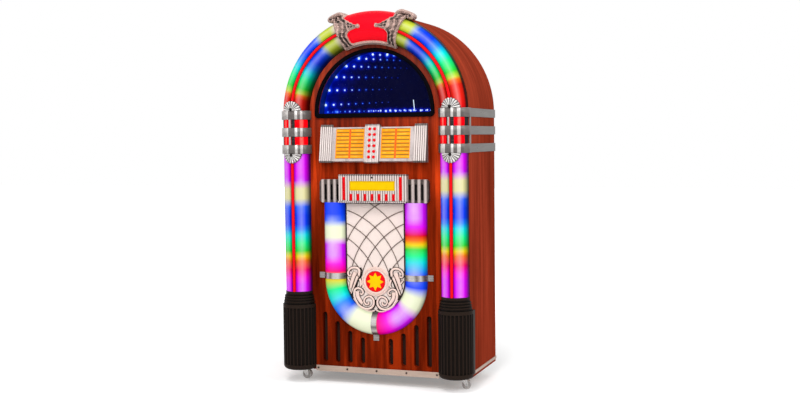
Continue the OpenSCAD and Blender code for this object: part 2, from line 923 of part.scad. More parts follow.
// The scrolls' places are for a grille of 106 mm half width, and grow and shrink with it.
module grille_scrollwork() {
    reach = bowl_in_r - 0.3;
    color("antiquewhite") on_front() translate([0, medallion_z, 1.2]) linear_extrude(scroll_t)
    intersection() {
        translate([0, -medallion_z]) grille_outline(reach + 0.1);
        union() {
            difference() {
                circle(max(46.5 * scroll, medallion_r + 4));
                circle(medallion_r + 0.3);
            }
            translate([0, bowl_z - medallion_z]) difference() {
                circle(reach);
                circle(reach - 7 * scroll);
                translate([-2 * reach, 0]) square([4 * reach, 2 * reach]);
            }
            both_sides() {
                ring_part(40, -62, 26, 8, -180, 0);
                ring_part(40, -62, 26, 8, 0, 120);
                ring_part(34, -66, 12, 7, -90, 90);
                ring_part(34, -66, 12, 7, 90, 180);
                ring_part(80, 16, 20, 8, 0, 180);
                ring_part(80, 16, 20, 8, 180, 300);
                translate([54, -66] * scroll) rotate(67) square([84, 8] * scroll);
                translate([14, -95] * scroll) square([20, 13] * scroll);
            }
        }
    }
}

module medallion_disc() {
    color("red") on_front() translate([0, medallion_z, 1.2]) cylinder(r = medallion_r, h = 3.8);
}

// Inside the cabinet

module driver(x, z, r) {
    on_front() translate([x, z, -front_t]) mirror([0, 0, 1]) {
        difference() {
            cylinder(r = r, h = 4);
            translate([0, 0, -1]) cylinder(r = r - 12, h = 6);
        }
        difference() {
            translate([0, 0, 3.9]) cylinder(r1 = r - 4, r2 = 28, h = 42);
            translate([0, 0, 3.8]) cylinder(r1 = r - 8, r2 = 18, h = 34);
        }
        translate([0, 0, 45.8]) cylinder(r = 36, h = 16);
    }
}

module speaker_drivers() {
    color("darkslategray") {
        both_sides() translate([0, 1.5, 0]) driver(slot_first + 1.5 * slot_pitch, slot_z + 85, woofer_r);
        driver(0, bowl_z + middle_rise, middle_r);
    }
}

module vent_cloth() {
    color("saddlebrown") both_sides() on_front()
        translate([slot_first - slot_w / 2 - 6, slot_z - 6, -front_t - 1.5])
            cube([3 * slot_pitch + slot_w + 12, slot_heights[3] + 12, 1.5]);
}

module circuit_boards() {
    color("seagreen") {
        translate([-70, back_y - back_t - 38, plug_z - 35]) cube([140, 1.6, 70]);
        translate([20, back_y - back_t - 50, plug_z - 25]) cube([40, 12.5, 45]);
        translate([-60, back_y - back_t - 46, plug_z + 5]) cube([30, 8.5, 20]);
        for (x = [-62, 62], z = [-28, 28]) translate([x, back_y - back_t - 2, plug_z + z])
            rotate([90, 0, 0]) cylinder(r = 3, h = 36);
        both_sides() {
            upright(boot_top + 2, spring_z - 1) translate([path_r - 6, 0]) square([12, 1.6]);
            around(spring_z, 0.5, 89 - crown_half_angle) translate([path_r - 6, 0]) square([12, 1.6]);
        }
        around(bowl_z, 180, 360) translate([bowl_path - 6, 0]) square([12, 1.6]);
        slope_block(-20, 20, 4, slope_len - 12.7, -strip_depth + 3, -strip_depth + 4.6);
    }
}

module power_supply() {
    color("slategray")
    translate([40 + wall_t - side_x, back_y - back_t - supply_d - 60, base_z + bottom_t]) {
        cube([supply_w, supply_d, supply_h]);
        translate([-12, supply_d / 2 - 20, 0]) cube([supply_w + 24, 40, 3]);
    }
}

module rear_connectors() {
    plate_y = back_y - back_t - 2;
    color("darkgray") difference() {
        union() {
            translate([-plug_plate_w / 2, plate_y, plug_z - plug_plate_h / 2])
                cube([plug_plate_w, 2, plug_plate_h]);
            translate([-50 - 16, plate_y - 22, plug_z - 12]) cube([32, 22.1, 24]);
            translate([30, plate_y + 0.1, plug_z]) rotate([90, 0, 0]) cylinder(r = 6, h = 18);
        }
        difference() {
            translate([-50 - 12.5, plate_y - 20, plug_z - 8.5]) cube([25, 30, 17]);
            for (x = [-7, 0, 7]) translate([-50 + x - 1, plate_y - 20.1, plug_z - 3 + (x == 0 ? 2 : 0)])
                cube([2, 13, 5]);
        }
        translate([30, plate_y + 10, plug_z]) rotate([90, 0, 0]) cylinder(r = 1.8, h = 24);
    }
}

cabinet_shell();
front_panel();
back_panel();
bottom_board();
base_trims();
panel_screws();
caster_plates();
caster_fork(-1, -1);  // caster_fork_front_left
caster_fork(1, -1);  // caster_fork_front_right
caster_fork(-1, 1);  // caster_fork_back_left
caster_fork(1, 1);  // caster_fork_back_right
caster_wheel(-1, -1);  // caster_wheel_front_left
caster_wheel(1, -1);  // caster_wheel_front_right
caster_wheel(-1, 1);  // caster_wheel_back_left
caster_wheel(1, 1);  // caster_wheel_back_right
arch_light_tubes();
column_light_tubes();
crest_strips();
clamp_frames();
clamp_lenses();
clamp_fans();
side_straps();
boots();
crown_lens();
crown_frame();
window_bezel();
window_glass();
rear_mirror();
window_light_box();
selector_frame();
selector_caps();
title_cards();
button_strip();
select_button(0, -1);  // select_button_1
select_button(0, 1);  // select_button_2
select_button(1, -1);  // select_button_3
select_button(1, 1);  // select_button_4
select_button(2, -1);  // select_button_5
select_button(2, 1);  // select_button_6
select_button(3, -1);  // select_button_7
select_button(3, 1);  // select_button_8
select_button(4, -1);  // select_button_9
select_button(4, 1);  // select_button_10
select_button(5, -1);  // select_button_11
select_button(5, 1);  // select_button_12
console_block();
console_wings();
console_plate();
console_inlays();
grille_cloth();
grille_lattice();
grille_scrollwork();
medallion_disc();
bowl_light_tube();
bowl_straps();
speaker_drivers();
circuit_boards();
power_supply();
rear_connectors();
vent_cloth();
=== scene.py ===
"""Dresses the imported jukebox: light tubes, bright metal, lit window, title cards, cloth and scrollwork."""

import functools
import math

import bmesh
import bpy
from mathutils import Matrix, Vector


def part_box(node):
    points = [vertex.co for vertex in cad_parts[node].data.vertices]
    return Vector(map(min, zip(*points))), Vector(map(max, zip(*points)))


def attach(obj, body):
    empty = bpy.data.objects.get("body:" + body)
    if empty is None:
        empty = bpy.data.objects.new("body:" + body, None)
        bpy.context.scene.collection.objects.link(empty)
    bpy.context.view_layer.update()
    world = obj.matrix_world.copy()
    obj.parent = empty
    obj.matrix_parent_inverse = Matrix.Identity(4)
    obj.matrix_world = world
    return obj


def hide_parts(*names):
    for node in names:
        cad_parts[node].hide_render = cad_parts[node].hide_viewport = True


bl_info = {
    "name": "Arched jukebox looks",
    "version": (1, 0, 0),
    "blender": (4, 5, 0),
    "location": "3D View > Sidebar > Jukebox",
    "description": "Light tubes, bright metal, lit window, cards and cloth for the packed jukebox",
    "category": "Object",
}

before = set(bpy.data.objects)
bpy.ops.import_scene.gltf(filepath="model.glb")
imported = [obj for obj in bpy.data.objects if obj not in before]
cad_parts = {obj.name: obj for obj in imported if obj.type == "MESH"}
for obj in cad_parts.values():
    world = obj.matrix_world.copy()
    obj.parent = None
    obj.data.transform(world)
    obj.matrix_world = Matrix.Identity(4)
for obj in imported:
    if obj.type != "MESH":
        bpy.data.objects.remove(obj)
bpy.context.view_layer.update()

# Places read from the frame, in metres
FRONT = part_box("front_panel")[0][1]
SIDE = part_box("cabinet_shell")[1][0]
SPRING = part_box("cabinet_shell")[1][2] - SIDE
BOOT_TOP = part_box("boots")[1][2]
CLAMP_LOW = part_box("clamp_frames")[0][2]
CLAMP_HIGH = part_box("clamp_frames")[1][2]
GRILLE_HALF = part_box("grille_cloth")[1][0]
GRILLE_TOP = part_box("grille_cloth")[1][2]
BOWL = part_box("grille_cloth")[0][2] + GRILLE_HALF
BOWL_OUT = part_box("bowl_light_tube")[1][0]
BOWL_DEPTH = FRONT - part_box("bowl_light_tube")[0][1]
BOWL_WIDE = BOWL_OUT - GRILLE_HALF - 0.0003
MEDALLION = (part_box("medallion_disc")[0][2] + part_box("medallion_disc")[1][2]) / 2
MEDALLION_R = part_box("medallion_disc")[1][0]
CONSOLE_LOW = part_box("console_block")[0][2]
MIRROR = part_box("rear_mirror")[0][1]
LIGHT_PLANE = MIRROR - 0.0012

# Where the picture is taken from, in metres
CAMERA = Vector((1.3576, -3.6237, 0.8370))

# Sizes in metres and angles in degrees that the frame's boxes don't give
ARCH_RUNS = ((0.0, 71.0), (180.0, 109.0))
CLAMP_WRAP = 0.013
INLAY_PITCH = 0.0253
SELECTOR_LOW = 0.756
SELECTOR_OUT = 0.030
SELECTOR_TALL = 0.128
CARD_WIDE = 0.102
WINDOW_RADIUS = 0.2058
SLOT_MIDDLE = 0.0508
SLOT_HALF = 0.0085
CLOTH_MARGIN = 0.006


def colour_prop(name, description, default):
    """A colour as it looks on the screen, from 0 to 1."""
    return bpy.props.FloatVectorProperty(
        name=name, description=description, default=default, subtype="COLOR_GAMMA", size=3, min=0.0, max=1.0)


def length_prop(name, description, default):
    """A length in metres."""
    return bpy.props.FloatProperty(name=name, description=description, default=default, unit="LENGTH")


class JukeboxSizes(bpy.types.PropertyGroup):
    """Sizes of the dressed pieces."""

    tube_radius: length_prop("Tube radius", "Radius of the half-round light tubes", 0.047)
    tube_path: length_prop("Tube path", "Middle of the cabinet to the middle of a tube", SIDE - 0.049)
    crest_half: length_prop("Crest half width", "Half the width of the red crest strip", 0.0045)
    groove_half: length_prop("Groove half width", "Half the width of the groove beside the strip", 0.0068)
    clamp_radius: length_prop("Clamp radius", "Outer radius of a shoulder clamp between its reeds", 0.0526)
    band_height: length_prop("Band height", "Height of one clamp band", 0.030)
    lens_height: length_prop("Lens height", "Height of a red lens between two bands", 0.028)
    fan_radius: length_prop("Fan radius", "Length of the fan's pleats", 0.0328)
    fan_pleats: bpy.props.IntProperty(name="Fan pleats", description="Pleats in one fan", default=10)
    crown_radius: length_prop("Crown radius", "Radius of the red crown lens", 0.054)
    bezel_width: length_prop("Bezel width", "Width of the black window bezel", 0.013)
    wire_radius: length_prop("Wire radius", "Radius of a lattice wire", 0.0015)
    bead_radius: length_prop("Bead radius", "Radius of a bead on the console's ledge", 0.0030)
    lean: bpy.props.FloatProperty(
        name="Selector lean", description="Lean of the selector's face", default=math.radians(9.2),
        subtype="ANGLE")


class JukeboxColours(bpy.types.PropertyGroup):
    """Finishes that a user would change."""

    wood_light: colour_prop("Light wood", "Pale streaks of the grain", (0.72, 0.215, 0.060))
    wood_dark: colour_prop("Dark wood", "Dark streaks of the grain", (0.29, 0.056, 0.008))
    side_light: colour_prop("Light side wood", "Pale streaks on the shell", (0.61, 0.228, 0.142))
    side_dark: colour_prop("Dark side wood", "Dark streaks on the shell", (0.43, 0.145, 0.082))
    bright: colour_prop("Bright metal", "Lit crests of the plated metal", (0.78, 0.765, 0.755))
    # This colour is painted shade: plated metal takes it where its marks are low, and the bowl straps take
    # it in their dark reflection stripes
    deep: colour_prop("Painted metal shade", "Grooves of the plated metal", (0.10, 0.09, 0.09))
    pewter: colour_prop("Pewter", "Cast crown frame", (0.66, 0.55, 0.515))
    red: colour_prop("Red", "Crest strips, inlays and medallion", (0.90, 0.05, 0.09))
    crown: colour_prop("Crown red", "Crown lens", (0.95, 0.035, 0.12))
    card: colour_prop("Card", "Lit title cards", (0.98, 0.57, 0.04))
    plate: colour_prop("Plate", "Blank console plate", (0.90, 0.735, 0.01))
    cloth: colour_prop("Speaker cloth", "Cloth behind the lattice", (0.93, 0.862, 0.832))
    vent: colour_prop("Slot cloth", "Cloth behind the sound slots", (0.20, 0.085, 0.045))
    black: colour_prop("Black", "Boots and sockets", (0.068, 0.050, 0.040))
    trim: colour_prop("Foot trim", "Metal strips at the foot", (0.75, 0.66, 0.60))


def sizes():
    """The sizes set in the scene."""
    return bpy.context.scene.jukebox_sizes


def tints():
    """The colours set in the scene."""
    return bpy.context.scene.jukebox_colours


def linear(colour):
    """A screen colour, from 0 to 1, as the linear values that shader sockets take."""
    return tuple(((c + 0.055) / 1.055) ** 2.4 if c > 0.04045 else c / 12.92 for c in colour[:3]) + (1.0,)


def tone(red, green, blue, pale=1.0):
    """A screen colour from 0 to 255, with pale kept in its fourth number."""
    return linear((red / 255, green / 255, blue / 255))[:3] + (pale,)


def dim(colour, part):
    """A screen colour made darker or brighter, as linear values."""
    return linear([min(c * part, 1.0) for c in colour])


def grey(value):
    """A plain factor as a colour."""
    return (value, value, value, 1.0)


class Shade:
    """One material's nodes, with short ways to add and join them."""

    def __init__(self, name):
        self.material = bpy.data.materials.new(name)
        self.material.use_nodes = True
        self.tree = self.material.node_tree
        self.tree.nodes.clear()
        output = self.tree.nodes.new("ShaderNodeOutputMaterial")
        self.surface = self.tree.nodes.new("ShaderNodeBsdfPrincipled")
        self.join(self.surface.outputs["BSDF"], output.inputs["Surface"])

    def join(self, source, target):
        self.tree.links.new(source, target)

    def add(self, kind, **settings):
        node = self.tree.nodes.new(kind)
        for key, value in settings.items():
            setattr(node, key, value)
        return node

    def feed(self, target, value):
        """Joins a socket, or sets a plain value."""
        if isinstance(value, bpy.types.NodeSocket):
            self.join(value, target)
        else:
            target.default_value = value

    def set(self, **values):
        """Sets the surface: words in a name are joined by an underscore."""
        for key, value in values.items():
            self.feed(self.surface.inputs[key.replace("_", " ")], value)

    def place(self, scale=(1.0, 1.0, 1.0)):
        """The piece's own coordinates, stretched."""
        coordinates = self.add("ShaderNodeTexCoord")
        mapping = self.add("ShaderNodeMapping")
        mapping.inputs["Scale"].default_value = scale
        self.join(coordinates.outputs["Object"], mapping.inputs["Vector"])
        return mapping.outputs["Vector"]

    def over_arch(self, scale):
        """The piece's own coordinates, stretched, with Z laid along the shell and over its arch."""
        place = self.axes(self.place())
        rise = self.minus(place["Z"], SPRING)
        angle = self.maths("ARCTAN2", self.maths("MAXIMUM", rise, 0.0), place["X"])
        fall = self.times(self.maths("MINIMUM", rise, 0.0), self.maths("SIGN", place["X"]))
        joined = self.add("ShaderNodeCombineXYZ")
        self.join(self.times(place["Y"], scale[1]), joined.inputs["Y"])
        along = self.plus(self.times(angle, SIDE), fall)
        self.join(self.times(along, scale[2]), joined.inputs["Z"])
        return joined.outputs["Vector"]

    def axes(self, vector):
        """X, Y and Z of a vector."""
        parts = self.add("ShaderNodeSeparateXYZ")
        self.join(vector, parts.inputs[0])
        return parts.outputs

    def surface_uv(self):
        """Across and along, from the piece's own map."""
        return self.axes(self.add("ShaderNodeUVMap", uv_map="surface").outputs["UV"])

    def mark(self, name):
        """A number kept on the piece's points."""
        return self.add("ShaderNodeAttribute", attribute_name=name).outputs["Fac"]

    def noise(self, vector, detail, rough):
        node = self.add("ShaderNodeTexNoise")
        self.join(vector, node.inputs["Vector"])
        for key, value in (("Scale", 1.0), ("Detail", detail), ("Roughness", rough)):
            node.inputs[key].default_value = value
        return node.outputs["Fac"]

    def grain(self, scale, detail, rough):
        """Noise in the piece's own coordinates."""
        return self.noise(self.place(scale), detail, rough)

    def ramp(self, factor, stops):
        """Colours along a factor; its two outputs are the colour and the fourth number."""
        node = self.add("ShaderNodeValToRGB")
        elements = node.color_ramp.elements
        elements.remove(elements[1])
        for i, (at, colour) in enumerate(stops):
            element = elements[0] if i == 0 else elements.new(at)
            element.position = at
            element.color = colour
        self.join(factor, node.inputs["Fac"])
        return node.outputs

    def curve(self, factor, stops):
        """A number along a factor."""
        return self.ramp(factor, [(at, grey(value)) for at, value in stops])["Color"]

    def span(self, noise, low, high):
        """A number that goes from low to high over the usual range of a noise."""
        return self.curve(noise, [(0.3, low), (0.7, high)])

    def mix(self, factor, first, second, blend="MIX"):
        node = self.add("ShaderNodeMix", data_type="RGBA", blend_type=blend)
        self.feed(node.inputs[0], factor)
        self.feed(node.inputs[6], first)
        self.feed(node.inputs[7], second)
        return node.outputs[2]

    def maths(self, operation, first, second=0.0):
        node = self.add("ShaderNodeMath", operation=operation)
        self.feed(node.inputs[0], first)
        self.feed(node.inputs[1], second)
        return node.outputs[0]

    def plus(self, first, second):
        return self.maths("ADD", first, second)

    def minus(self, first, second):
        return self.maths("SUBTRACT", first, second)

    def times(self, first, second):
        return self.maths("MULTIPLY", first, second)

    def blend(self, first, second, share):
        """Two factors in one; share is the first one's part."""
        return self.plus(self.times(first, share), self.times(second, 1 - share))

    def crests(self, value, pitch):
        """1 at whole pitches and 0 half way between."""
        fold = self.maths("PINGPONG", value, pitch / 2)
        return self.minus(1.0, self.maths("DIVIDE", fold, pitch / 2))

    def between(self, value, low, high):
        """1 from low to high and 0 elsewhere."""
        return self.times(self.maths("GREATER_THAN", value, low), self.maths("LESS_THAN", value, high))

    def bump(self, height, strength, distance):
        node = self.add("ShaderNodeBump")
        node.inputs["Strength"].default_value = strength
        node.inputs["Distance"].default_value = distance
        self.join(height, node.inputs["Height"])
        self.join(node.outputs["Normal"], self.surface.inputs["Normal"])

    def corners(self, distance):
        """Shade from nearby surfaces in corners and folds, from 0 in a corner to 1 in the open; colour
        darkened by it is painted shade.
        """
        node = self.add("ShaderNodeAmbientOcclusion", samples=8, only_local=True)
        node.inputs["Distance"].default_value = distance
        return node.outputs["AO"]


def wood(name, light, dark, painted_light_by_height, painted_sheen, arched=False):
    """Reddish wood with upright grain; painted light and shade by half the height, and a pink painted sheen
    towards the top.
    """
    shade = Shade(name)
    lay = shade.over_arch if arched else shade.place
    streaks = shade.noise(lay((48, 48, 2.4)), 5.0, 0.62)
    clouds = shade.noise(lay((4.5, 4.5, 1.2)), 2.0, 0.5)
    pores = shade.noise(lay((420, 420, 12)), 2.0, 0.6)
    depth = shade.blend(streaks, clouds, 0.6)
    middle = tuple((a + b) / 2 for a, b in zip(light, dark))
    colour = shade.ramp(depth, [(0.36, linear(dark)), (0.5, linear(middle)), (0.63, linear(light))])["Color"]
    colour = shade.mix(shade.curve(pores, [(0.58, 0.0), (0.75, 0.45)]), colour, dim(dark, 0.55))
    height = shade.axes(shade.place((0.5, 0.5, 0.5)))["Z"]
    colour = shade.mix(1.0, colour, shade.curve(height, painted_light_by_height), "MULTIPLY")
    colour = shade.mix(shade.curve(height, painted_sheen), colour, tone(214, 166, 156))
    shade.set(Base_Color=colour, Roughness=shade.span(streaks, 0.5, 0.6))
    shade.set(Specular_IOR_Level=0.0)
    shade.bump(pores, 0.12, 0.0004)
    return shade.material


@functools.cache
def front_wood():
    # Painted light and shade by half the height: dark near the foot, bright between console and selector,
    # brighter round the window
    painted_light_by_height = [(0.03, 0.58), (0.10, 0.66), (0.25, 0.74), (0.29, 0.88), (0.315, 1.10), (0.335, 1.6),
              (0.36, 1.6), (0.385, 1.15), (0.5, 1.06), (0.55, 1.3)]
    # Painted sheen: a pink reflection mixed in towards the top
    painted_sheen = [(0.40, 0.0), (0.46, 0.02), (0.56, 0.06)]
    return wood("Front panel wood", tints().wood_light, tints().wood_dark, painted_light_by_height, painted_sheen)


@functools.cache
def side_wood():
    # Painted light: the shell a little brighter towards its top, with a faint painted sheen
    painted_light_by_height = [(0.15, 1.0), (0.5, 1.12)]
    painted_sheen = [(0.3, 0.0), (0.6, 0.01)]
    return wood("Shell wood", tints().side_light, tints().side_dark, painted_light_by_height, painted_sheen, arched=True)


def plating(name, stops):
    """Plated metal with painted reflections and shade: bright on the crests and dark in the grooves, as the
    piece's own marks say.
    """
    shade = Shade(name)
    scuffs = shade.grain((60, 60, 900), 3.0, 0.6)
    crest = shade.mark("crest")
    colour = shade.ramp(crest, [(0.0, linear(tints().deep))] + stops)["Color"]
    colour = shade.mix(shade.curve(scuffs, [(0.45, 0.0), (0.7, 0.25)]), colour, tone(140, 134, 132))
    shade.set(Base_Color=colour, Metallic=0.3, Roughness=shade.curve(scuffs, [(0.3, 0.26), (0.75, 0.4)]))
    shade.set(Specular_IOR_Level=0.2)
    shade.bump(scuffs, 0.05, 0.0002)
    return shade.material


@functools.cache
def plated():
    stops = [(0.3, tone(78, 73, 71)), (0.5, tone(107, 101, 98)), (0.75, tone(168, 163, 160)),
             (1.0, tone(190, 186, 183))]
    return plating("Plated metal", stops)


@functools.cache
def fan_plated():
    stops = [(0.3, tone(84, 80, 78)), (0.6, tone(176, 172, 170)), (1.0, tone(222, 219, 216))]
    return plating("Fan plating", stops)


def brushed(name, light, dark, scale, metallic, rough=0.34):
    """Flat metal with fine lines along it."""
    shade = Shade(name)
    lines = shade.grain(scale, 3.0, 0.6)
    broad = shade.grain((6, 6, 6), 2.0, 0.5)
    tint = shade.blend(lines, broad, 0.5)
    colour = shade.ramp(tint, [(0.34, linear(dark)), (0.66, linear(light))])["Color"]
    shade.set(Base_Color=colour, Metallic=metallic)
    shade.set(Roughness=shade.span(lines, rough - 0.08, rough + 0.1))
    shade.bump(lines, 0.08, 0.0002)
    return shade.material


METALS = {
    "strap": ("Side strap metal", (0.415, 0.393, 0.380), (0.323, 0.305, 0.296), (400, 9, 400), 0.3),
    "frame": ("Selector frame metal", (0.79, 0.745, 0.735), (0.67, 0.62, 0.61), (60, 60, 10), 0.3, 0.3),
    "screw": ("Screw metal", (0.30, 0.25, 0.22), (0.15, 0.12, 0.11), (700, 700, 700), 0.7),
    "caster": ("Caster metal", (0.92, 0.91, 0.90), (0.70, 0.69, 0.68), (260, 260, 260), 0.8, 0.28),
    "supply": ("Supply case metal", (0.62, 0.63, 0.64), (0.44, 0.45, 0.46), (12, 400, 400), 0.8),
    "wire": ("Lattice wire", (0.50, 0.42, 0.38), (0.24, 0.19, 0.17), (200, 200, 200), 0.3),
}


@functools.cache
def metal(word):
    """A metal by its word: name, light and dark tint, lines, metallic share and roughness."""
    return brushed(*METALS[word])


@functools.cache
def trim_metal():
    light = tints().trim
    return brushed("Foot trim metal", light, [c * 0.86 for c in light], (9, 9, 500), 0.35, 0.4)


@functools.cache
def strap_chrome():
    """Polished straps over the bowl, with painted reflections: bands of light and dark across their curve.
    """
    shade = Shade("Bowl strap chrome")
    place = shade.axes(shade.place())
    up = shade.minus(place["Z"], BOWL)
    far = shade.maths("SQRT", shade.plus(shade.times(place["X"], place["X"]), shade.times(up, up)))
    lines = shade.grain((20, 20, 700), 3.0, 0.6)
    stops = [(0.1, 0.5), (0.108, 0.1), (0.117, 0.35), (0.128, 0.95), (0.146, 0.9), (0.155, 0.25),
             (0.168, 0.95), (0.178, 0.1), (0.188, 0.6), (0.205, 0.5)]
    bands = shade.curve(far, stops)
    colour = shade.ramp(bands, [(0.1, linear(tints().deep)), (0.5, tone(140, 133, 130)),
                                (0.95, linear(tints().bright))])["Color"]
    colour = shade.mix(shade.curve(lines, [(0.45, 0.0), (0.7, 0.3)]), colour, tone(150, 142, 140))
    shade.set(Base_Color=colour, Metallic=0.5, Roughness=shade.span(lines, 0.2, 0.3))
    return shade.material


@functools.cache
def cast_pewter():
    """Cast metal with painted shade darkening its folds and painted highlights brightening its ridges."""
    shade = Shade("Cast pewter")
    grain = shade.grain((260, 260, 260), 4.0, 0.6)
    dents = shade.add("ShaderNodeTexVoronoi")
    shade.join(shade.place((230, 230, 230)), dents.inputs["Vector"])
    open_air = shade.corners(0.009)
    body = tints().pewter
    stops = [(0.5, 0.04), (0.70, 0.34), (0.85, 0.88), (0.98, 1.34)]
    colour = shade.ramp(open_air, [(at, dim(body, part)) for at, part in stops])["Color"]
    pits = shade.curve(dents.outputs["Distance"], [(0.34, 0.0), (0.62, 0.7)])
    colour = shade.mix(pits, colour, dim(body, 0.26))
    shade.set(Base_Color=colour, Metallic=0.3, Roughness=shade.span(grain, 0.34, 0.5))
    shade.set(Specular_IOR_Level=0.3)
    shade.bump(dents.outputs["Distance"], 0.6, 0.0010)
    return shade.material


def moulded(name, body, gloss):
    """Moulded black plastic with painted shade in its grooves and painted highlights on its edges."""
    shade = Shade(name)
    grain = shade.grain((700, 700, 700), 2.0, 0.5)
    stops = [(at, dim(body, part)) for at, part in ((0.62, 0.3), (0.84, 0.9), (1.0, 2.1))]
    shade.set(Base_Color=shade.ramp(shade.corners(0.009), stops)["Color"], Specular_IOR_Level=gloss)
    shade.set(Roughness=shade.span(grain, 0.32, 0.46))
    shade.bump(grain, 0.08, 0.0002)
    return shade.material


@functools.cache
def boot_black():
    return moulded("Boot black", tints().black, 0.05)


@functools.cache
def bezel_black():
    return moulded("Bezel black", (0.012, 0.010, 0.018), 0.02)


# Colours of the lit tubes as screen values, and how much painted highlight, the pale streak, each shows
HUES = {
    "violet": (224, 8, 248, 0.1), "magenta": (250, 0, 222, 0.1), "pink": (250, 4, 108, 0.0),
    "red": (226, 8, 22, 0.1), "orange": (246, 112, 20, 0.0), "yellow": (240, 206, 12, 0.0),
    "lime": (196, 210, 56, 0.5), "green": (46, 214, 50, 0.2), "spring": (4, 238, 140, 0.1),
    "cyan": (4, 220, 226, 0.2), "azure": (20, 132, 248, 0.2), "blue": (14, 66, 246, 0.1),
    "sky": (36, 96, 250, 0.8), "cream": (236, 242, 206, 0.35), "lilac": (208, 22, 248, 1.0),
    "blush": (232, 206, 216, 0.5), "straw": (226, 219, 160, 0.6), "ember": (228, 32, 18, 0.1),
}


def lamp(name, stops, across, least):
    """A tube lit from inside: colour runs along it, and across it lie a pale band of painted highlight and
    dark edges of painted shade.
    """
    shade = Shade(name)
    uv = shade.surface_uv()
    hue = shade.ramp(uv["Y"], [(at, tone(*HUES[word])) for at, word in stops])
    haze = shade.grain((34, 34, 34), 2.0, 0.5)
    pale = shade.times(shade.curve(uv["X"], across[1]), shade.span(haze, 0.8, 1.0))
    pale = shade.times(pale, shade.maths("MAXIMUM", hue["Alpha"], least))
    colour = shade.mix(pale, hue["Color"], (1.0, 1.0, 0.97, 1.0))
    colour = shade.mix(1.0, colour, shade.curve(uv["X"], across[0]), "MULTIPLY")
    shade.set(Base_Color=colour, Emission_Color=colour, Emission_Strength=0.4)
    shade.set(Roughness=shade.span(haze, 0.24, 0.34), Specular_IOR_Level=0.02)
    return shade.material


# Across each tube: how bright its colour is, as painted shade dark at its edges and in the groove by the
# strip, then how strong its pale streak of painted highlight is
COLUMN_ROUND = (
    [(0.0, 0.03), (0.06, 0.10), (0.15, 0.40), (0.23, 0.66), (0.40, 0.60), (0.46, 0.26), (0.5, 0.05),
     (0.54, 0.26), (0.60, 0.60), (0.77, 0.66), (0.85, 0.40), (0.94, 0.10), (1.0, 0.03)],
    [(0.19, 0.0), (0.25, 0.16), (0.30, 0.34), (0.35, 0.22), (0.42, 0.0), (0.58, 0.0), (0.65, 0.22),
     (0.70, 0.34), (0.75, 0.16), (0.81, 0.0)],
)
# On the arches the painted shade is deeper on the inner flank and at the outer edge, by the gap to the shell
ARCH_ROUND = (
    [(0.0, 0.01), (0.10, 0.03), (0.15, 0.45), (0.25, 0.70), (0.40, 0.58), (0.46, 0.26), (0.5, 0.05),
     (0.54, 0.26), (0.60, 0.60), (0.70, 0.50), (0.78, 0.25), (0.88, 0.06), (1.0, 0.01)],
    [(0.22, 0.0), (0.27, 0.14), (0.31, 0.40), (0.35, 0.20), (0.41, 0.0), (0.57, 0.0), (0.61, 0.22),
     (0.65, 0.40), (0.70, 0.16), (0.76, 0.0)],
)
BOWL_ROUND = (
    [(0.0, 0.10), (0.06, 0.42), (0.2, 0.68), (0.8, 0.68), (0.94, 0.42), (1.0, 0.10)],
    [(0.16, 0.0), (0.38, 0.32), (0.5, 0.42), (0.62, 0.32), (0.84, 0.0)],
)


@functools.cache
def column_light():
    stops = [(0.0, "violet"), (0.09, "violet"), (0.13, "magenta"), (0.175, "pink"), (0.225, "orange"),
             (0.25, "yellow"), (0.28, "green"), (0.325, "spring"), (0.37, "cyan"), (0.40, "azure"),
             (0.43, "blue"), (0.48, "blue"), (0.53, "sky"), (0.575, "straw"), (0.63, "straw"),
             (0.675, "lilac"), (0.72, "violet"), (0.9, "violet")]
    return lamp("Column light", stops, COLUMN_ROUND, 0.6)


@functools.cache
def arch_light():
    stops = [(0.0, "red"), (0.12, "ember"), (0.20, "ember"), (0.24, "orange"), (0.262, "lime"),
             (0.31, "green"), (0.40, "spring"), (0.468, "cyan"), (0.532, "azure"), (0.60, "blue"),
             (0.673, "blue"), (0.727, "sky"), (0.786, "lime"), (0.87, "lime"), (0.94, "blush")]
    return lamp("Arch light", stops, ARCH_ROUND, 0.45)


@functools.cache
def bowl_light():
    stops = [(0.0, "blue"), (0.04, "blue"), (0.062, "sky"), (0.084, "cream"), (0.12, "cream"),
             (0.145, "lilac"), (0.182, "lilac"), (0.212, "magenta"), (0.24, "pink"), (0.264, "yellow"),
             (0.30, "spring"), (0.332, "cyan"), (0.355, "azure"), (0.385, "sky"), (0.42, "cream"),
             (0.49, "cream"), (0.508, "pink"), (0.55, "magenta"), (0.585, "lilac"), (0.62, "lilac"),
             (0.65, "cream"), (0.685, "cream"), (0.715, "blue"), (0.76, "sky"), (0.80, "cyan"),
             (0.822, "spring"), (0.845, "green"), (0.86, "yellow"), (0.874, "orange"), (0.89, "red"),
             (0.922, "violet"), (0.95, "lilac")]
    return lamp("Bowl light", stops, BOWL_ROUND, 0.06)


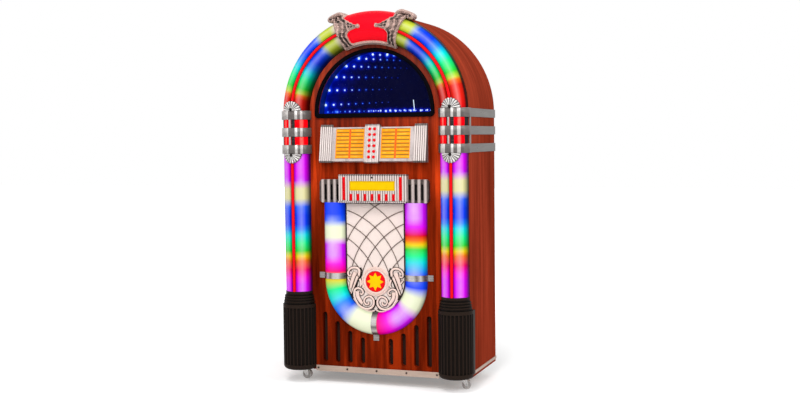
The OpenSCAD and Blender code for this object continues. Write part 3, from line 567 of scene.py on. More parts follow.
def clear_plastic(name, body, glow, speckle):
    """Clear coloured plastic with a moulded speckle; its glow is painted light on the pieces that are no
    lamp, and it gets painted shade where its marks are low.
    """
    shade = Shade(name)
    dots = shade.add("ShaderNodeTexVoronoi")
    shade.join(shade.place(), dots.inputs["Vector"])
    dots.inputs["Scale"].default_value = speckle
    haze = shade.grain((14, 14, 14), 2.0, 0.5)
    colour = shade.ramp(haze, [(0.3, dim(body, 0.96)), (0.7, linear(body))])["Color"]
    pale = linear([min(c + 0.14, 1.0) for c in body])
    colour = shade.mix(shade.curve(dots.outputs["Distance"], [(0.0, 0.3), (0.3, 0.0)]), colour, pale)
    dark = dim(body, 0.55)
    colour = shade.mix(shade.curve(shade.mark("crest"), [(0.0, 1.0), (0.8, 0.0)]), colour, dark)
    shade.set(Base_Color=colour, Emission_Color=colour, Emission_Strength=glow)
    shade.set(Roughness=shade.span(haze, 0.3, 0.4), Specular_IOR_Level=0.05)
    return shade.material


@functools.cache
def crown_red():
    return clear_plastic("Crown red", tints().crown, 0.12, 240.0)


@functools.cache
def crest_red():
    return clear_plastic("Crest red", tints().red, 0.08, 500.0)


@functools.cache
def button_red():
    return clear_plastic("Button red", [c * 0.96 for c in tints().red], 0.04, 900.0)


@functools.cache
def lens_red():
    """Red shoulder lens with a painted highlight along its middle."""
    shade = Shade("Shoulder lens red")
    uv = shade.surface_uv()
    haze = shade.grain((60, 60, 60), 2.0, 0.5)
    shine = shade.times(shade.curve(uv["X"], [(0.15, 0.0), (0.21, 1.0), (0.27, 1.0), (0.33, 0.0)]),
                        shade.curve(haze, [(0.3, 0.55), (0.65, 1.0)]))
    colour = shade.ramp(haze, [(0.3, tone(226, 0, 12)), (0.7, tone(244, 3, 18))])["Color"]
    colour = shade.mix(shade.times(shine, 0.8), colour, tone(250, 116, 106))
    shade.set(Base_Color=colour, Emission_Color=colour, Emission_Strength=0.1)
    shade.set(Roughness=shade.span(haze, 0.2, 0.3), Specular_IOR_Level=0.03)
    return shade.material


@functools.cache
def reed_white():
    """Pale reeded plastic with shaded grooves."""
    shade = Shade("Pale reeds")
    crest = shade.mark("crest")
    haze = shade.grain((70, 70, 8), 3.0, 0.6)
    stops = [(0.0, tone(58, 52, 50)), (0.2, tone(118, 106, 102)), (0.55, tone(192, 178, 174)),
             (0.95, tone(224, 213, 209))]
    colour = shade.ramp(crest, stops)["Color"]
    colour = shade.mix(shade.curve(haze, [(0.45, 0.0), (0.7, 0.25)]), colour, tone(182, 168, 164))
    shade.set(Base_Color=colour, Roughness=shade.span(haze, 0.24, 0.36), Specular_IOR_Level=0.25)
    return shade.material


def striped(name, pitch, dark, light, node):
    """Reeds painted across a node: bright where their crests lie at whole pitches, painted shade in the
    grooves between, and painted shade at their ends.
    """
    shade = Shade(name)
    place = shade.axes(shade.place())
    haze = shade.grain((60, 60, 10), 3.0, 0.6)
    crest = shade.crests(place["X"], pitch)
    middle = tuple(a * 0.4 + b * 0.6 for a, b in zip(dark, light))
    colour = shade.ramp(crest, [(0.06, linear(dark)), (0.34, linear(middle)), (0.7, linear(light))])["Color"]
    colour = shade.mix(shade.curve(haze, [(0.42, 0.0), (0.7, 0.3)]), colour, linear(middle))
    low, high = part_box(node)
    ends = shade.minus(1.0, shade.between(place["Z"], low[2] + 0.0055, high[2] - 0.0045))
    shadow = shade.times(ends, shade.curve(crest, [(0.3, 0.9), (0.8, 0.45)]))
    colour = shade.mix(shadow, colour, dim(dark, 0.3))
    shade.set(Base_Color=colour, Metallic=0.15, Roughness=shade.span(haze, 0.24, 0.4))
    shade.set(Specular_IOR_Level=0.3)
    return shade.material


@functools.cache
def console_reeds():
    return striped("Console reeds", INLAY_PITCH / 3, (0.46, 0.40, 0.385), (0.86, 0.805, 0.785),
                   "console_block")


@functools.cache
def strip_reeds():
    return striped("Button strip reeds", 0.0047, (0.50, 0.44, 0.43), (0.90, 0.86, 0.845), "button_strip")


@functools.cache
def wing_metal():
    """Pale plated wings with painted shade on the edges of their bars, and near-black painted shade inside
    their slots.
    """
    shade = Shade("Wing metal")
    place = shade.axes(shade.place())
    far = shade.maths("ABSOLUTE", place["X"])
    haze = shade.grain((60, 60, 60), 3.0, 0.6)
    low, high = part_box("console_wings")
    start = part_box("console_block")[1][0]
    pitch = (high[0] - start) / 3.4
    bars = shade.crests(shade.minus(far, start + 0.008 - pitch / 2), pitch)
    stops = [(0.36, tone(56, 47, 44)), (0.56, tone(146, 132, 127)), (0.85, tone(194, 180, 175))]
    colour = shade.ramp(bars, stops)["Color"]
    colour = shade.mix(shade.curve(haze, [(0.4, 0.0), (0.7, 0.2)]), colour, tone(150, 136, 131))
    sunk = shade.maths("GREATER_THAN", place["Y"], low[1] + 0.0015)
    inner = shade.times(sunk, shade.between(place["Z"], low[2] + 0.005, high[2] - 0.012))
    inner = shade.times(inner, shade.between(far, start + 0.001, high[0] - 0.004))
    colour = shade.mix(inner, colour, tone(14, 11, 10))
    shade.set(Base_Color=colour, Metallic=0.2, Roughness=shade.span(haze, 0.26, 0.4))
    shade.set(Specular_IOR_Level=0.3)
    return shade.material


@functools.cache
def plate_yellow():
    """Blank enamelled plate with a faint border line."""
    shade = Shade("Plate yellow")
    place = shade.axes(shade.place())
    haze = shade.grain((40, 40, 40), 3.0, 0.6)
    body = tints().plate
    colour = shade.ramp(haze, [(0.3, dim(body, 0.95)), (0.7, linear(body))])["Color"]
    middle = (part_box("console_plate")[0][2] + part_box("console_plate")[1][2]) / 2
    far = shade.maths("MAXIMUM", shade.minus(shade.maths("ABSOLUTE", place["X"]), 0.0645),
                      shade.maths("ABSOLUTE", shade.minus(place["Z"], middle)))
    colour = shade.mix(shade.between(far, 0.0122, 0.0136), colour, tone(196, 132, 10))
    shade.set(Base_Color=colour)
    shade.set(Roughness=shade.span(haze, 0.26, 0.4), Specular_IOR_Level=0.06)
    return shade.material


@functools.cache
def card_print():
    """Backlit card with blank ruled lines in two columns and a red bar between them."""
    shade = Shade("Title card")
    uv = shade.surface_uv()
    haze = shade.grain((22, 22, 22), 3.0, 0.6)
    streaks = shade.grain((90, 90, 320), 2.0, 0.5)
    body = tints().card
    colour = shade.ramp(haze, [(0.3, dim(body, 0.93)), (0.7, linear((1.0, 0.62, 0.06)))])["Color"]
    row = shade.crests(uv["Y"], 1 / 8)
    line = shade.curve(row, [(0.60, 0.0), (0.80, 0.92)])
    glint = shade.times(shade.curve(row, [(0.12, 0.35), (0.34, 0.0)]),
                        shade.curve(streaks, [(0.42, 0.0), (0.58, 1.0)]))
    column = shade.crests(uv["X"], 0.5)
    inside = shade.curve(column, [(0.86, 1.0), (0.92, 0.0)])
    colour = shade.mix(shade.times(line, inside), colour, tone(104, 82, 34))
    colour = shade.mix(shade.times(glint, inside), colour, tone(255, 206, 100))
    colour = shade.mix(shade.between(uv["X"], 0.468, 0.532), colour, tone(240, 92, 26))
    shade.set(Base_Color=colour, Emission_Color=colour, Emission_Strength=0.08, Specular_IOR_Level=0.15)
    shade.set(Roughness=shade.span(haze, 0.3, 0.45))
    return shade.material


def weave(name, body, pitch, contrast):
    """Woven cloth: threads over and under on a square pitch."""
    shade = Shade(name)
    place = shade.axes(shade.place())
    warp = shade.crests(place["X"], pitch)
    weft = shade.crests(place["Z"], pitch)
    haze = shade.grain((9, 9, 9), 3.0, 0.5)
    fuzz = shade.grain((900, 900, 900), 2.0, 0.5)
    thread = shade.blend(shade.blend(warp, weft, 0.5), fuzz, 0.75)
    colour = shade.ramp(thread, [(0.2, dim(body, 1 - contrast)), (0.7, linear(body))])["Color"]
    colour = shade.mix(shade.curve(haze, [(0.35, 0.0), (0.75, 0.4)]), colour, dim(body, 0.94))
    shade.set(Base_Color=colour, Roughness=shade.span(fuzz, 0.75, 0.95), Specular_IOR_Level=0.15)
    shade.set(Sheen_Weight=0.15)
    shade.bump(thread, 0.3, 0.0006)
    return shade.material


@functools.cache
def grille_weave():
    return weave("Speaker cloth", tints().cloth, 0.0026, 0.10)


@functools.cache
def vent_weave():
    return weave("Slot cloth", tints().vent, 0.0030, 0.5)


@functools.cache
def scroll_cream():
    """Cream scrollwork, darkened to brown in its folds as painted shade."""
    shade = Shade("Scrollwork cream")
    grain = shade.grain((120, 120, 120), 3.0, 0.6)
    open_air = shade.corners(0.008)
    stops = [(0.4, tone(40, 28, 24)), (0.66, tone(150, 122, 110)), (0.9, tone(228, 201, 190))]
    colour = shade.ramp(open_air, stops)["Color"]
    colour = shade.mix(shade.curve(grain, [(0.5, 0.0), (0.75, 0.3)]), colour, tone(206, 174, 162))
    shade.set(Base_Color=colour, Roughness=shade.span(grain, 0.4, 0.6), Specular_IOR_Level=0.3)
    shade.bump(grain, 0.08, 0.0003)
    return shade.material


@functools.cache
def star_yellow():
    return clear_plastic("Star yellow", (0.94, 0.75, 0.01), 0.04, 700.0)


# Dark brown for the strokes of painted shadow beside the scrolls
@functools.cache
def scroll_shadow_brown():
    return speckled("Scroll shadow", (0.15, 0.105, 0.085), (0.05, 0.032, 0.026), 200, 0.7)


@functools.cache
def rubber_and_shadow_black():
    """Black rubber, also painted shadow in the clamps' strips behind the lenses, the crown's seat and the
    grille's edging.
    """
    shade = Shade("Rubber and shadow black")
    grain = shade.grain((500, 500, 500), 2.0, 0.5)
    shade.set(Base_Color=shade.ramp(grain, [(0.3, tone(16, 12, 12)), (0.7, tone(34, 28, 27))])["Color"])
    shade.set(Roughness=shade.span(grain, 0.5, 0.75), Specular_IOR_Level=0.15)
    return shade.material


@functools.cache
def tinted_glass():
    """Half-mirrored front glass, nearly clear."""
    shade = Shade("Window glass")
    haze = shade.grain((3, 3, 3), 2.0, 0.5)
    shade.set(Base_Color=shade.ramp(haze, [(0.3, tone(0, 2, 18)), (0.7, tone(0, 6, 34))])["Color"])
    shade.set(Roughness=shade.span(haze, 0.3, 0.4), Alpha=0.05, Specular_IOR_Level=0.0)
    return shade.material


@functools.cache
def window_glow():
    """Deep blue light on the rear mirror, as the sheet's own marks say."""
    shade = Shade("Window glow")
    glow = shade.mark("glow")
    haze = shade.grain((26, 26, 26), 3.0, 0.6)
    level = shade.times(glow, shade.span(haze, 0.8, 1.15))
    colour = shade.ramp(level, [(0.0, tone(0, 0, 20)), (0.16, tone(0, 2, 56)), (0.4, tone(0, 10, 136)),
                                (0.7, tone(4, 40, 226)), (1.0, tone(96, 160, 255))])["Color"]
    shade.set(Base_Color=tone(0, 0, 6), Emission_Color=colour, Emission_Strength=1.0,
              Specular_IOR_Level=0.05)
    shade.set(Roughness=shade.span(haze, 0.3, 0.5))
    return shade.material


@functools.cache
def window_dot():
    """Small lights and their repeats in the mirror, from white-blue to deep blue."""
    shade = Shade("Window lights")
    glow = shade.mark("glow")
    haze = shade.grain((80, 80, 80), 2.0, 0.5)
    level = shade.times(glow, shade.span(haze, 0.9, 1.1))
    colour = shade.ramp(level, [(0.0, tone(0, 8, 90)), (0.35, tone(8, 50, 220)), (0.65, tone(60, 130, 255)),
                                (1.0, tone(214, 234, 255))])["Color"]
    shade.set(Base_Color=tone(0, 0, 10), Emission_Color=colour, Emission_Strength=1.3, Roughness=0.4)
    shade.set(Specular_IOR_Level=0.05)
    return shade.material


@functools.cache
def box_blue():
    """Inner wall of the light box, glowing with painted light: brighter towards the lights at its front and
    towards the left.
    """
    shade = Shade("Light box wall")
    place = shade.axes(shade.place())
    haze = shade.grain((30, 30, 30), 2.0, 0.5)
    deep = shade.maths("DIVIDE", shade.minus(place["Y"], FRONT), 0.060)
    left = shade.curve(shade.plus(place["X"], 0.25), [(0.05, 1.0), (0.25, 0.6), (0.5, 0.15)])
    level = shade.times(shade.times(shade.curve(deep, [(0.2, 0.75), (1.0, 0.6)]), left),
                        shade.span(haze, 0.8, 1.1))
    stops = [(0.0, tone(0, 0, 16)), (0.5, tone(0, 14, 130)), (1.0, tone(20, 80, 245))]
    colour = shade.ramp(level, stops)["Color"]
    shade.set(Base_Color=tone(0, 2, 24), Emission_Color=colour, Emission_Strength=0.32,
              Specular_IOR_Level=0.05)
    shade.set(Roughness=shade.span(haze, 0.4, 0.6))
    return shade.material


def speckled(name, light, dark, scale, rough):
    """Board, paper, rubber or card with a fine fleck."""
    shade = Shade(name)
    fleck = shade.grain((scale, scale, scale), 4.0, 0.65)
    clouds = shade.grain((7, 7, 7), 2.0, 0.5)
    tint = shade.blend(fleck, clouds, 0.6)
    shade.set(Base_Color=shade.ramp(tint, [(0.35, linear(dark)), (0.65, linear(light))])["Color"])
    shade.set(Roughness=shade.span(fleck, rough - 0.1, rough + 0.1), Specular_IOR_Level=0.25)
    shade.bump(fleck, 0.15, 0.0003)
    return shade.material


class Shape:
    """Gathers points, faces and marks for one mesh."""

    def __init__(self):
        self.points = []
        self.faces = []
        self.uv = []
        self.marks = []

    def rows(self, rows, uv=None, crest=None, ring=False, caps=False):
        """Joins rows of points into a skin; ring closes each row, and caps fills the two ends."""
        start = len(self.points)
        wide = len(rows[0])
        for i, row in enumerate(rows):
            for j, point in enumerate(row):
                self.points.append(tuple(point))
                self.uv.append(uv[i][j] if uv else (j / (wide - 1), i / max(len(rows) - 1, 1)))
                self.marks.append(crest[i][j] if crest else 1.0)
        for i in range(len(rows) - 1):
            for j in range(wide if ring else wide - 1):
                a = start + i * wide + j
                b = start + i * wide + (j + 1) % wide
                self.faces.append((a, b, b + wide, a + wide))
        if caps:
            last = start + (len(rows) - 1) * wide
            self.faces.append(tuple(range(start + wide - 1, start - 1, -1)))
            self.faces.append(tuple(range(last, last + wide)))
        return self

    def make(self, name, material, smooth, mark="crest"):
        """The finished object, with its doubles merged and its faces outward."""
        mesh = bpy.data.meshes.new(name)
        mesh.from_pydata(self.points, [], self.faces)
        layer = mesh.uv_layers.new(name="surface")
        for loop in mesh.loops:
            layer.data[loop.index].uv = self.uv[loop.vertex_index]
        mesh.attributes.new(mark, "FLOAT", "POINT").data.foreach_set("value", self.marks)
        build = bmesh.new()
        build.from_mesh(mesh)
        bmesh.ops.remove_doubles(build, verts=build.verts, dist=1e-6)
        bmesh.ops.recalc_face_normals(build, faces=build.faces)
        build.to_mesh(mesh)
        build.free()
        return show(name, mesh, material, smooth)


def show(name, mesh, material, smooth):
    """Links a mesh as an object at the origin, with its material and its sharp edges."""
    mesh.name = name
    mesh.materials.clear()
    mesh.materials.append(material)
    mesh.shade_smooth()
    mesh.set_sharp_from_angle(angle=math.radians(smooth))
    piece = bpy.data.objects.new(name, mesh)
    bpy.context.scene.collection.objects.link(piece)
    return piece


def fit(piece, *nodes, body="cabinet"):
    """Puts a piece on its body and hides the CAD nodes it stands in for."""
    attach(piece, body)
    if nodes:
        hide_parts(*nodes)
    return piece


def face_front(sheet):
    """Turns an open sheet's faces to the front."""
    if sheet.data.polygons[0].normal.y > 0:
        sheet.data.flip_normals()


def dress(material, *nodes):
    """Gives CAD nodes a finish."""
    for name in nodes:
        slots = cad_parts[name].data.materials
        slots.clear()
        slots.append(material)


def steps(low, high, count):
    """Evenly spaced numbers, both ends included."""
    return [low + (high - low) * i / (count - 1) for i in range(count)]


def between(knots, at):
    """The value at a place on a line of straight runs through knots."""
    for (a, low), (b, high) in zip(knots, knots[1:]):
        if at <= b:
            return low + (high - low) * (at - a) / (b - a)
    return knots[-1][1]


def on_front(x, z, out=0.0):
    """A point on the panel's face, out metres in front of it."""
    return Vector((x, FRONT - out, z))


def on_slope(x, up, out):
    """A point on the selector's leaning face."""
    lean = sizes().lean
    forward = SELECTOR_OUT - up * math.sin(lean) + out * math.cos(lean)
    return Vector((x, FRONT - forward, SELECTOR_LOW + up * math.cos(lean) + out * math.sin(lean)))


def column_path(side, count):
    """Middle points and outward directions of an upright tube."""
    return [((side * sizes().tube_path, z), (side, 0.0)) for z in steps(BOOT_TOP, SPRING, count)]


def arch_path(first, last, count):
    """Middle points and outward directions of the arch, in degrees from its right foot."""
    reach = sizes().tube_path
    turns = [math.radians(a) for a in steps(first, last, count)]
    return [((reach * math.cos(a), SPRING + reach * math.sin(a)), (math.cos(a), math.sin(a))) for a in turns]


def bowl_path():
    """Middle points and outward directions of the U, from its upper left end."""
    middle = BOWL_OUT - BOWL_WIDE / 2
    foot = BOWL + 0.004
    down = [((-middle, z), (-1.0, 0.0)) for z in steps(GRILLE_TOP, foot, 34)]
    turns = [math.radians(a) for a in steps(180, 360, 72)]
    bend = [((middle * math.cos(a), BOWL + middle * math.sin(a)), (math.cos(a), math.sin(a))) for a in turns]
    return down + bend + [((middle, z), (1.0, 0.0)) for z in steps(foot, GRILLE_TOP, 34)]


def sweep(shape, path, section, along):
    """Carries a closed section of outward and forward reach along a path on the panel."""
    rows = [[on_front(at[0] + u * out[0], at[1] + u * out[1], v) for u, v, _ in section] for at, out in path]
    uv = [[(across, far) for _, _, across in section] for far in along]
    shape.rows(rows, uv=uv, ring=True, caps=True)


def tube_section():
    """Half round with a groove along its top."""
    radius = sizes().tube_radius
    gap = math.acos(sizes().groove_half / radius)
    right = [(radius * math.cos(t), radius * math.sin(t), t / math.pi) for t in steps(0.0, gap, 22)]
    floor = radius * math.sin(gap) - 0.006
    left = [(-u, v, 1 - across) for u, v, across in reversed(right)]
    return right + [(right[-1][0], floor, 0.48), (-right[-1][0], floor, 0.52)] + left


def rounded(half_w, half_h, corner, count):
    """A closed outline: a rectangle with round corners."""
    points = []
    for quarter, (sx, sz) in enumerate(((1, 1), (-1, 1), (-1, -1), (1, -1))):
        for a in steps(quarter * math.pi / 2, (quarter + 1) * math.pi / 2, count):
            x = sx * (half_w - corner) + corner * math.cos(a)
            points.append((x, sz * (half_h - corner) + corner * math.sin(a)))
    return points


def inset(outline, distance):
    """A closed outline, counterclockwise, drawn in by a distance."""
    drawn = []
    for i, point in enumerate(outline):
        before = Vector(outline[i - 1])
        after = Vector(outline[(i + 1) % len(outline)])
        run = (after - before).normalized()
        drawn.append((point[0] - run.y * distance, point[1] + run.x * distance))
    return drawn


def slab(shape, outline, low, high, edge):
    """Fills an outline as a plate from low to high, with a rounded front edge."""
    levels = [(0.0, low), (0.0, high - edge), (edge * 0.13, high - edge * 0.5),
              (edge * 0.5, high - edge * 0.13), (edge, high)]
    rows = [[on_front(x, z, v) for x, z in inset(outline, draw)] for draw, v in levels]
    shape.rows(rows, ring=True, caps=True)


def lathe(shape, place, profile, count):
    """Turns a profile of radius and height round a point, with a flat cap at each end."""
    turns = [2 * math.pi * i / count for i in range(count)]
    rows = [[place(r * math.cos(t), r * math.sin(t), out) for t in turns] for r, out in profile]
    shape.rows(rows, ring=True, caps=True)


def node_tree(name, inputs):
    """An empty tree with its named inputs; gives the tree, its input node and its output node."""
    tree = bpy.data.node_groups.new(name, "GeometryNodeTree")
    tree.interface.new_socket("Geometry", in_out="INPUT", socket_type="NodeSocketGeometry")
    for key, kind in inputs:
        tree.interface.new_socket(key, in_out="INPUT", socket_type="NodeSocket" + kind)
    tree.interface.new_socket("Geometry", in_out="OUTPUT", socket_type="NodeSocketGeometry")
    return tree, tree.nodes.new("NodeGroupInput"), tree.nodes.new("NodeGroupOutput")


def end_tree(tree, source, result, geometry):
    """Realizes instances and sets the finish."""
    real = tree.nodes.new("GeometryNodeRealizeInstances")
    finish = tree.nodes.new("GeometryNodeSetMaterial")
    tree.links.new(geometry, real.inputs["Geometry"])
    tree.links.new(real.outputs["Geometry"], finish.inputs["Geometry"])
    tree.links.new(source.outputs["Finish"], finish.inputs["Material"])
    tree.links.new(finish.outputs["Geometry"], result.inputs["Geometry"])


def size_mark(tree):
    """The size kept on each host point."""
    mark = tree.nodes.new("GeometryNodeInputNamedAttribute")
    mark.data_type = "FLOAT"
    mark.inputs["Name"].default_value = "size"
    return mark.outputs["Attribute"]


@functools.cache
def bead_tree():
    """A small ball on every host point, scaled by the point's size."""
    inputs = [("Bead radius", "Float"), ("Segments", "Int"), ("Finish", "Material")]
    tree, source, result = node_tree("Bead rows", inputs)
    ball = tree.nodes.new("GeometryNodeMeshUVSphere")
    spread = tree.nodes.new("GeometryNodeInstanceOnPoints")
    tree.links.new(source.outputs["Segments"], ball.inputs["Segments"])
    ball.inputs["Rings"].default_value = 6
    tree.links.new(source.outputs["Bead radius"], ball.inputs["Radius"])
    tree.links.new(source.outputs["Geometry"], spread.inputs["Points"])
    tree.links.new(ball.outputs["Mesh"], spread.inputs["Instance"])
    tree.links.new(size_mark(tree), spread.inputs["Scale"])
    end_tree(tree, source, result, spread.outputs["Instances"])
    return tree


@functools.cache
def rod_tree():
    """A round rod along the host's edges, thickened by each point's size."""
    inputs = [("Rod radius", "Float"), ("Sides", "Int"), ("Finish", "Material")]
    tree, source, result = node_tree("Bent rods", inputs)
    line = tree.nodes.new("GeometryNodeMeshToCurve")
    round_edge = tree.nodes.new("GeometryNodeCurvePrimitiveCircle")
    solid = tree.nodes.new("GeometryNodeCurveToMesh")
    tree.links.new(source.outputs["Geometry"], line.inputs["Mesh"])
    tree.links.new(source.outputs["Sides"], round_edge.inputs["Resolution"])
    tree.links.new(source.outputs["Rod radius"], round_edge.inputs["Radius"])
    tree.links.new(line.outputs["Curve"], solid.inputs["Curve"])
    tree.links.new(round_edge.outputs["Curve"], solid.inputs["Profile Curve"])
    tree.links.new(size_mark(tree), solid.inputs["Scale"])
    solid.inputs["Fill Caps"].default_value = True
    end_tree(tree, source, result, solid.outputs["Mesh"])
    return tree


def grow(tree, values, points, edges=(), **marks):
    """Runs a tree on bare points and edges, and gives the result as a plain mesh."""
    mesh = bpy.data.meshes.new("host")
    mesh.from_pydata([tuple(p) for p in points], list(edges), [])
    marks.setdefault("size", [1.0] * len(points))
    for key, numbers in marks.items():
        mesh.attributes.new(key, "FLOAT", "POINT").data.foreach_set("value", numbers)
    host = bpy.data.objects.new("host", mesh)
    bpy.context.scene.collection.objects.link(host)
    modifier = host.modifiers.new("Grow", "NODES")
    modifier.node_group = tree
    for item in tree.interface.items_tree:
        if item.in_out == "INPUT" and item.name in values:
            modifier[item.identifier] = values[item.name]
    grown = bpy.data.meshes.new_from_object(host.evaluated_get(bpy.context.evaluated_depsgraph_get()))
    bpy.data.objects.remove(host)
    if not grown.polygons:
        raise RuntimeError("tree " + tree.name + " made nothing")
    return grown


def chain(*lines):
    """Points and edges of several open lines in one host."""
    points = []
    edges = []
    for line in lines:
        start = len(points)
        points += line
        edges += [(start + i, start + i + 1) for i in range(len(line) - 1)]
    return points, edges


def bead_piece(name, finish, radius, segments, points, smooth=70, **marks):
    """A piece of small balls, one on each point."""
    values = {"Bead radius": radius, "Segments": segments, "Finish": finish}
    fit(show(name, grow(bead_tree(), values, points, **marks), finish, smooth))


def rod_mesh(finish, radius, sides, lines, **marks):
    """A mesh of round rods along open lines."""
    values = {"Rod radius": radius, "Sides": sides, "Finish": finish}
    return grow(rod_tree(), values, *chain(*lines), **marks)


def curve_through(knots, count=14):
    """A smooth line through flat points."""
    points = []
    for i in range(len(knots) - 1):
        p0 = Vector(knots[max(i - 1, 0)])
        p1 = Vector(knots[i])
        p2 = Vector(knots[i + 1])
        p3 = Vector(knots[min(i + 2, len(knots) - 1)])
        for t in steps(0.0, 1.0, count)[:-1]:
            points.append(0.5 * (2 * p1 + (p2 - p0) * t + (2 * p0 - 5 * p1 + 4 * p2 - p3) * t * t
                                 + (3 * p1 - p0 - 3 * p2 + p3) * t ** 3))
    return points + [Vector(knots[-1])]


class PieceOperator(bpy.types.Operator):
    """Base of the operators that make or dress pieces."""

    bl_options = {"REGISTER", "UNDO"}


class JUKEBOX_OT_cabinet(PieceOperator):
    """Finishes the wooden boards, the foot trims, screws, boots and the parts inside and behind"""

    bl_idname = "jukebox.cabinet"
    bl_label = "Cabinet"

    def execute(self, context):
        dress(front_wood(), "front_panel")
        dress(side_wood(), "cabinet_shell")
        dress(speckled("Back board", (0.36, 0.25, 0.17), (0.24, 0.16, 0.10), 160, 0.7), "back_panel")
        dress(speckled("Bottom board", (0.62, 0.47, 0.31), (0.45, 0.32, 0.20), 120, 0.7), "bottom_board")
        dress(trim_metal(), "base_trims")
        dress(metal("screw"), "panel_screws")
        dress(metal("strap"), "side_straps")
        dress(boot_black(), "boots", "rear_connectors")
        dress(speckled("Speaker paper", (0.16, 0.155, 0.15), (0.07, 0.068, 0.066), 90, 0.75),
              "speaker_drivers")
        dress(speckled("Board green", (0.10, 0.32, 0.18), (0.05, 0.20, 0.11), 240, 0.45), "circuit_boards")
        dress(metal("supply"), "power_supply")
        return {"FINISHED"}


class JUKEBOX_OT_casters(PieceOperator):
    """Finishes the four casters"""

    bl_idname = "jukebox.casters"
    bl_label = "Casters"

    def execute(self, context):
        rubber = speckled("Wheel rubber", (0.90, 0.885, 0.87), (0.72, 0.70, 0.69), 300, 0.55)
        dress(metal("caster"), "caster_plates")
        for corner in ("front_left", "front_right", "back_left", "back_right"):
            dress(metal("caster"), "caster_fork_" + corner)
            dress(rubber, "caster_wheel_" + corner)
        return {"FINISHED"}


class JUKEBOX_OT_light_tubes(PieceOperator):
    """Makes the upright and arched light tubes and the red strips on their crests"""

    bl_idname = "jukebox.light_tubes"
    bl_label = "Light tubes"

    def execute(self, context):
        section = tube_section()
        columns = Shape()
        arches = Shape()
        for side, drift in ((1, 0.0), (-1, 0.05)):
            sweep(columns, column_path(side, 70), section, [t + drift for t in steps(0.0, 1.0, 70)])
        for ends, drift in zip(ARCH_RUNS, (0.0, 0.068)):
            sweep(arches, arch_path(*ends, 80), section, [t / 1.1 + drift for t in steps(0.0, 1.0, 80)])
        fit(columns.make("light_columns", column_light(), 30), "column_light_tubes")
        fit(arches.make("light_arches", arch_light(), 30), "arch_light_tubes")
        half = sizes().crest_half
        low = sizes().tube_radius - 0.0057
        top = sizes().tube_radius + 0.002
        dome = 0.003
        bar = [(half, low, 0.0)]
        bar += [(half * math.cos(t), top - dome + dome * math.sin(t), 0.5) for t in steps(0.0, math.pi, 9)]
        bar.append((-half, low, 1.0))
        crests = Shape()
        for side in (1, -1):
            sweep(crests, column_path(side, 40), bar, steps(0.0, 1.0, 40))
        for ends in ARCH_RUNS:
            sweep(crests, arch_path(*ends, 80), bar, steps(0.0, 1.0, 80))
        fit(crests.make("light_crests", crest_red(), 50), "crest_strips")
        return {"FINISHED"}


# Round each clamp, seen from the front: where a rib or the ground beside it ends, its lift and its shine;
# the shine is painted reflection, set for each side
RIBS = {
    1: ((-42, 0, 0.3), (-20, 1, 0.97), (3, 0, 0.42), (12, 1, 1.0), (25, 0, 0.42), (38, 1, 1.0),
        (50, 0, 0.36), (91, 0, 0.48)),
    -1: ((-18, 0, 0.72), (-12, 1, 1.0), (14.5, 0, 0.42), (24, 1, 1.0), (34.5, 0, 0.46), (44, 1, 0.95),
         (91, 0, 0.42)),
}

# Degrees round each clamp between which a red lens shows
LENS_RUNS = {1: ((32, 79), (106, 142)), -1: ((50, 77), (104, 160))}


def rib(side, degrees):
    """Lift and shine at an angle round a clamp band: raised ribs painted bright and the ground between
    painted dull, as painted reflection.
    """
    turn = side * (90 - degrees)
    for last, lift, shine in RIBS[side]:
        if turn <= last:
            return lift, shine


def round_column(side, line, z):
    """A row of points round a column at one height, from radii and angles."""
    centre = side * sizes().tube_path
    return [on_front(centre + side * r * math.cos(t), z, r * math.sin(t)) for r, t in line]


def band(shape, side, low):
    """One ribbed clamp band round a column, with a flat return along the cabinet's side."""
    high = low + sizes().band_height
    inner = sizes().clamp_radius - 0.0032
    rise = 0.0014
    bevel = 0.0012
    turns = steps(0.0, 180.0, 181)
    outer = []
    for t in turns:
        lift, shine = rib(side, t)
        outer.append((sizes().clamp_radius + rise * lift, math.radians(t), shine))
    rows = []
    marks = []
    for z, draw in ((low, bevel), (low + bevel, 0.0), (high - bevel, 0.0), (high, bevel)):
        line = [(r - draw, t) for r, t, _ in outer] + [(inner, t) for _, t, _ in reversed(outer)]
        rows.append(round_column(side, line, z))
        marks.append([c for _, _, c in outer] + [0.3] * len(turns))
    shape.rows(rows, crest=marks, ring=True, caps=True)
    face = SIDE + 0.0002
    edge = side * (sizes().tube_path + sizes().clamp_radius)
    outline = [(face * side, 0.0), (edge, 0.0), (edge, -CLAMP_WRAP), (face * side, -CLAMP_WRAP)]
    rows = [[on_front(x, z, v) for x, v in outline] for z in (low, high)]
    shape.rows(rows, crest=[[0.46] * 4] * 2, ring=True, caps=True)


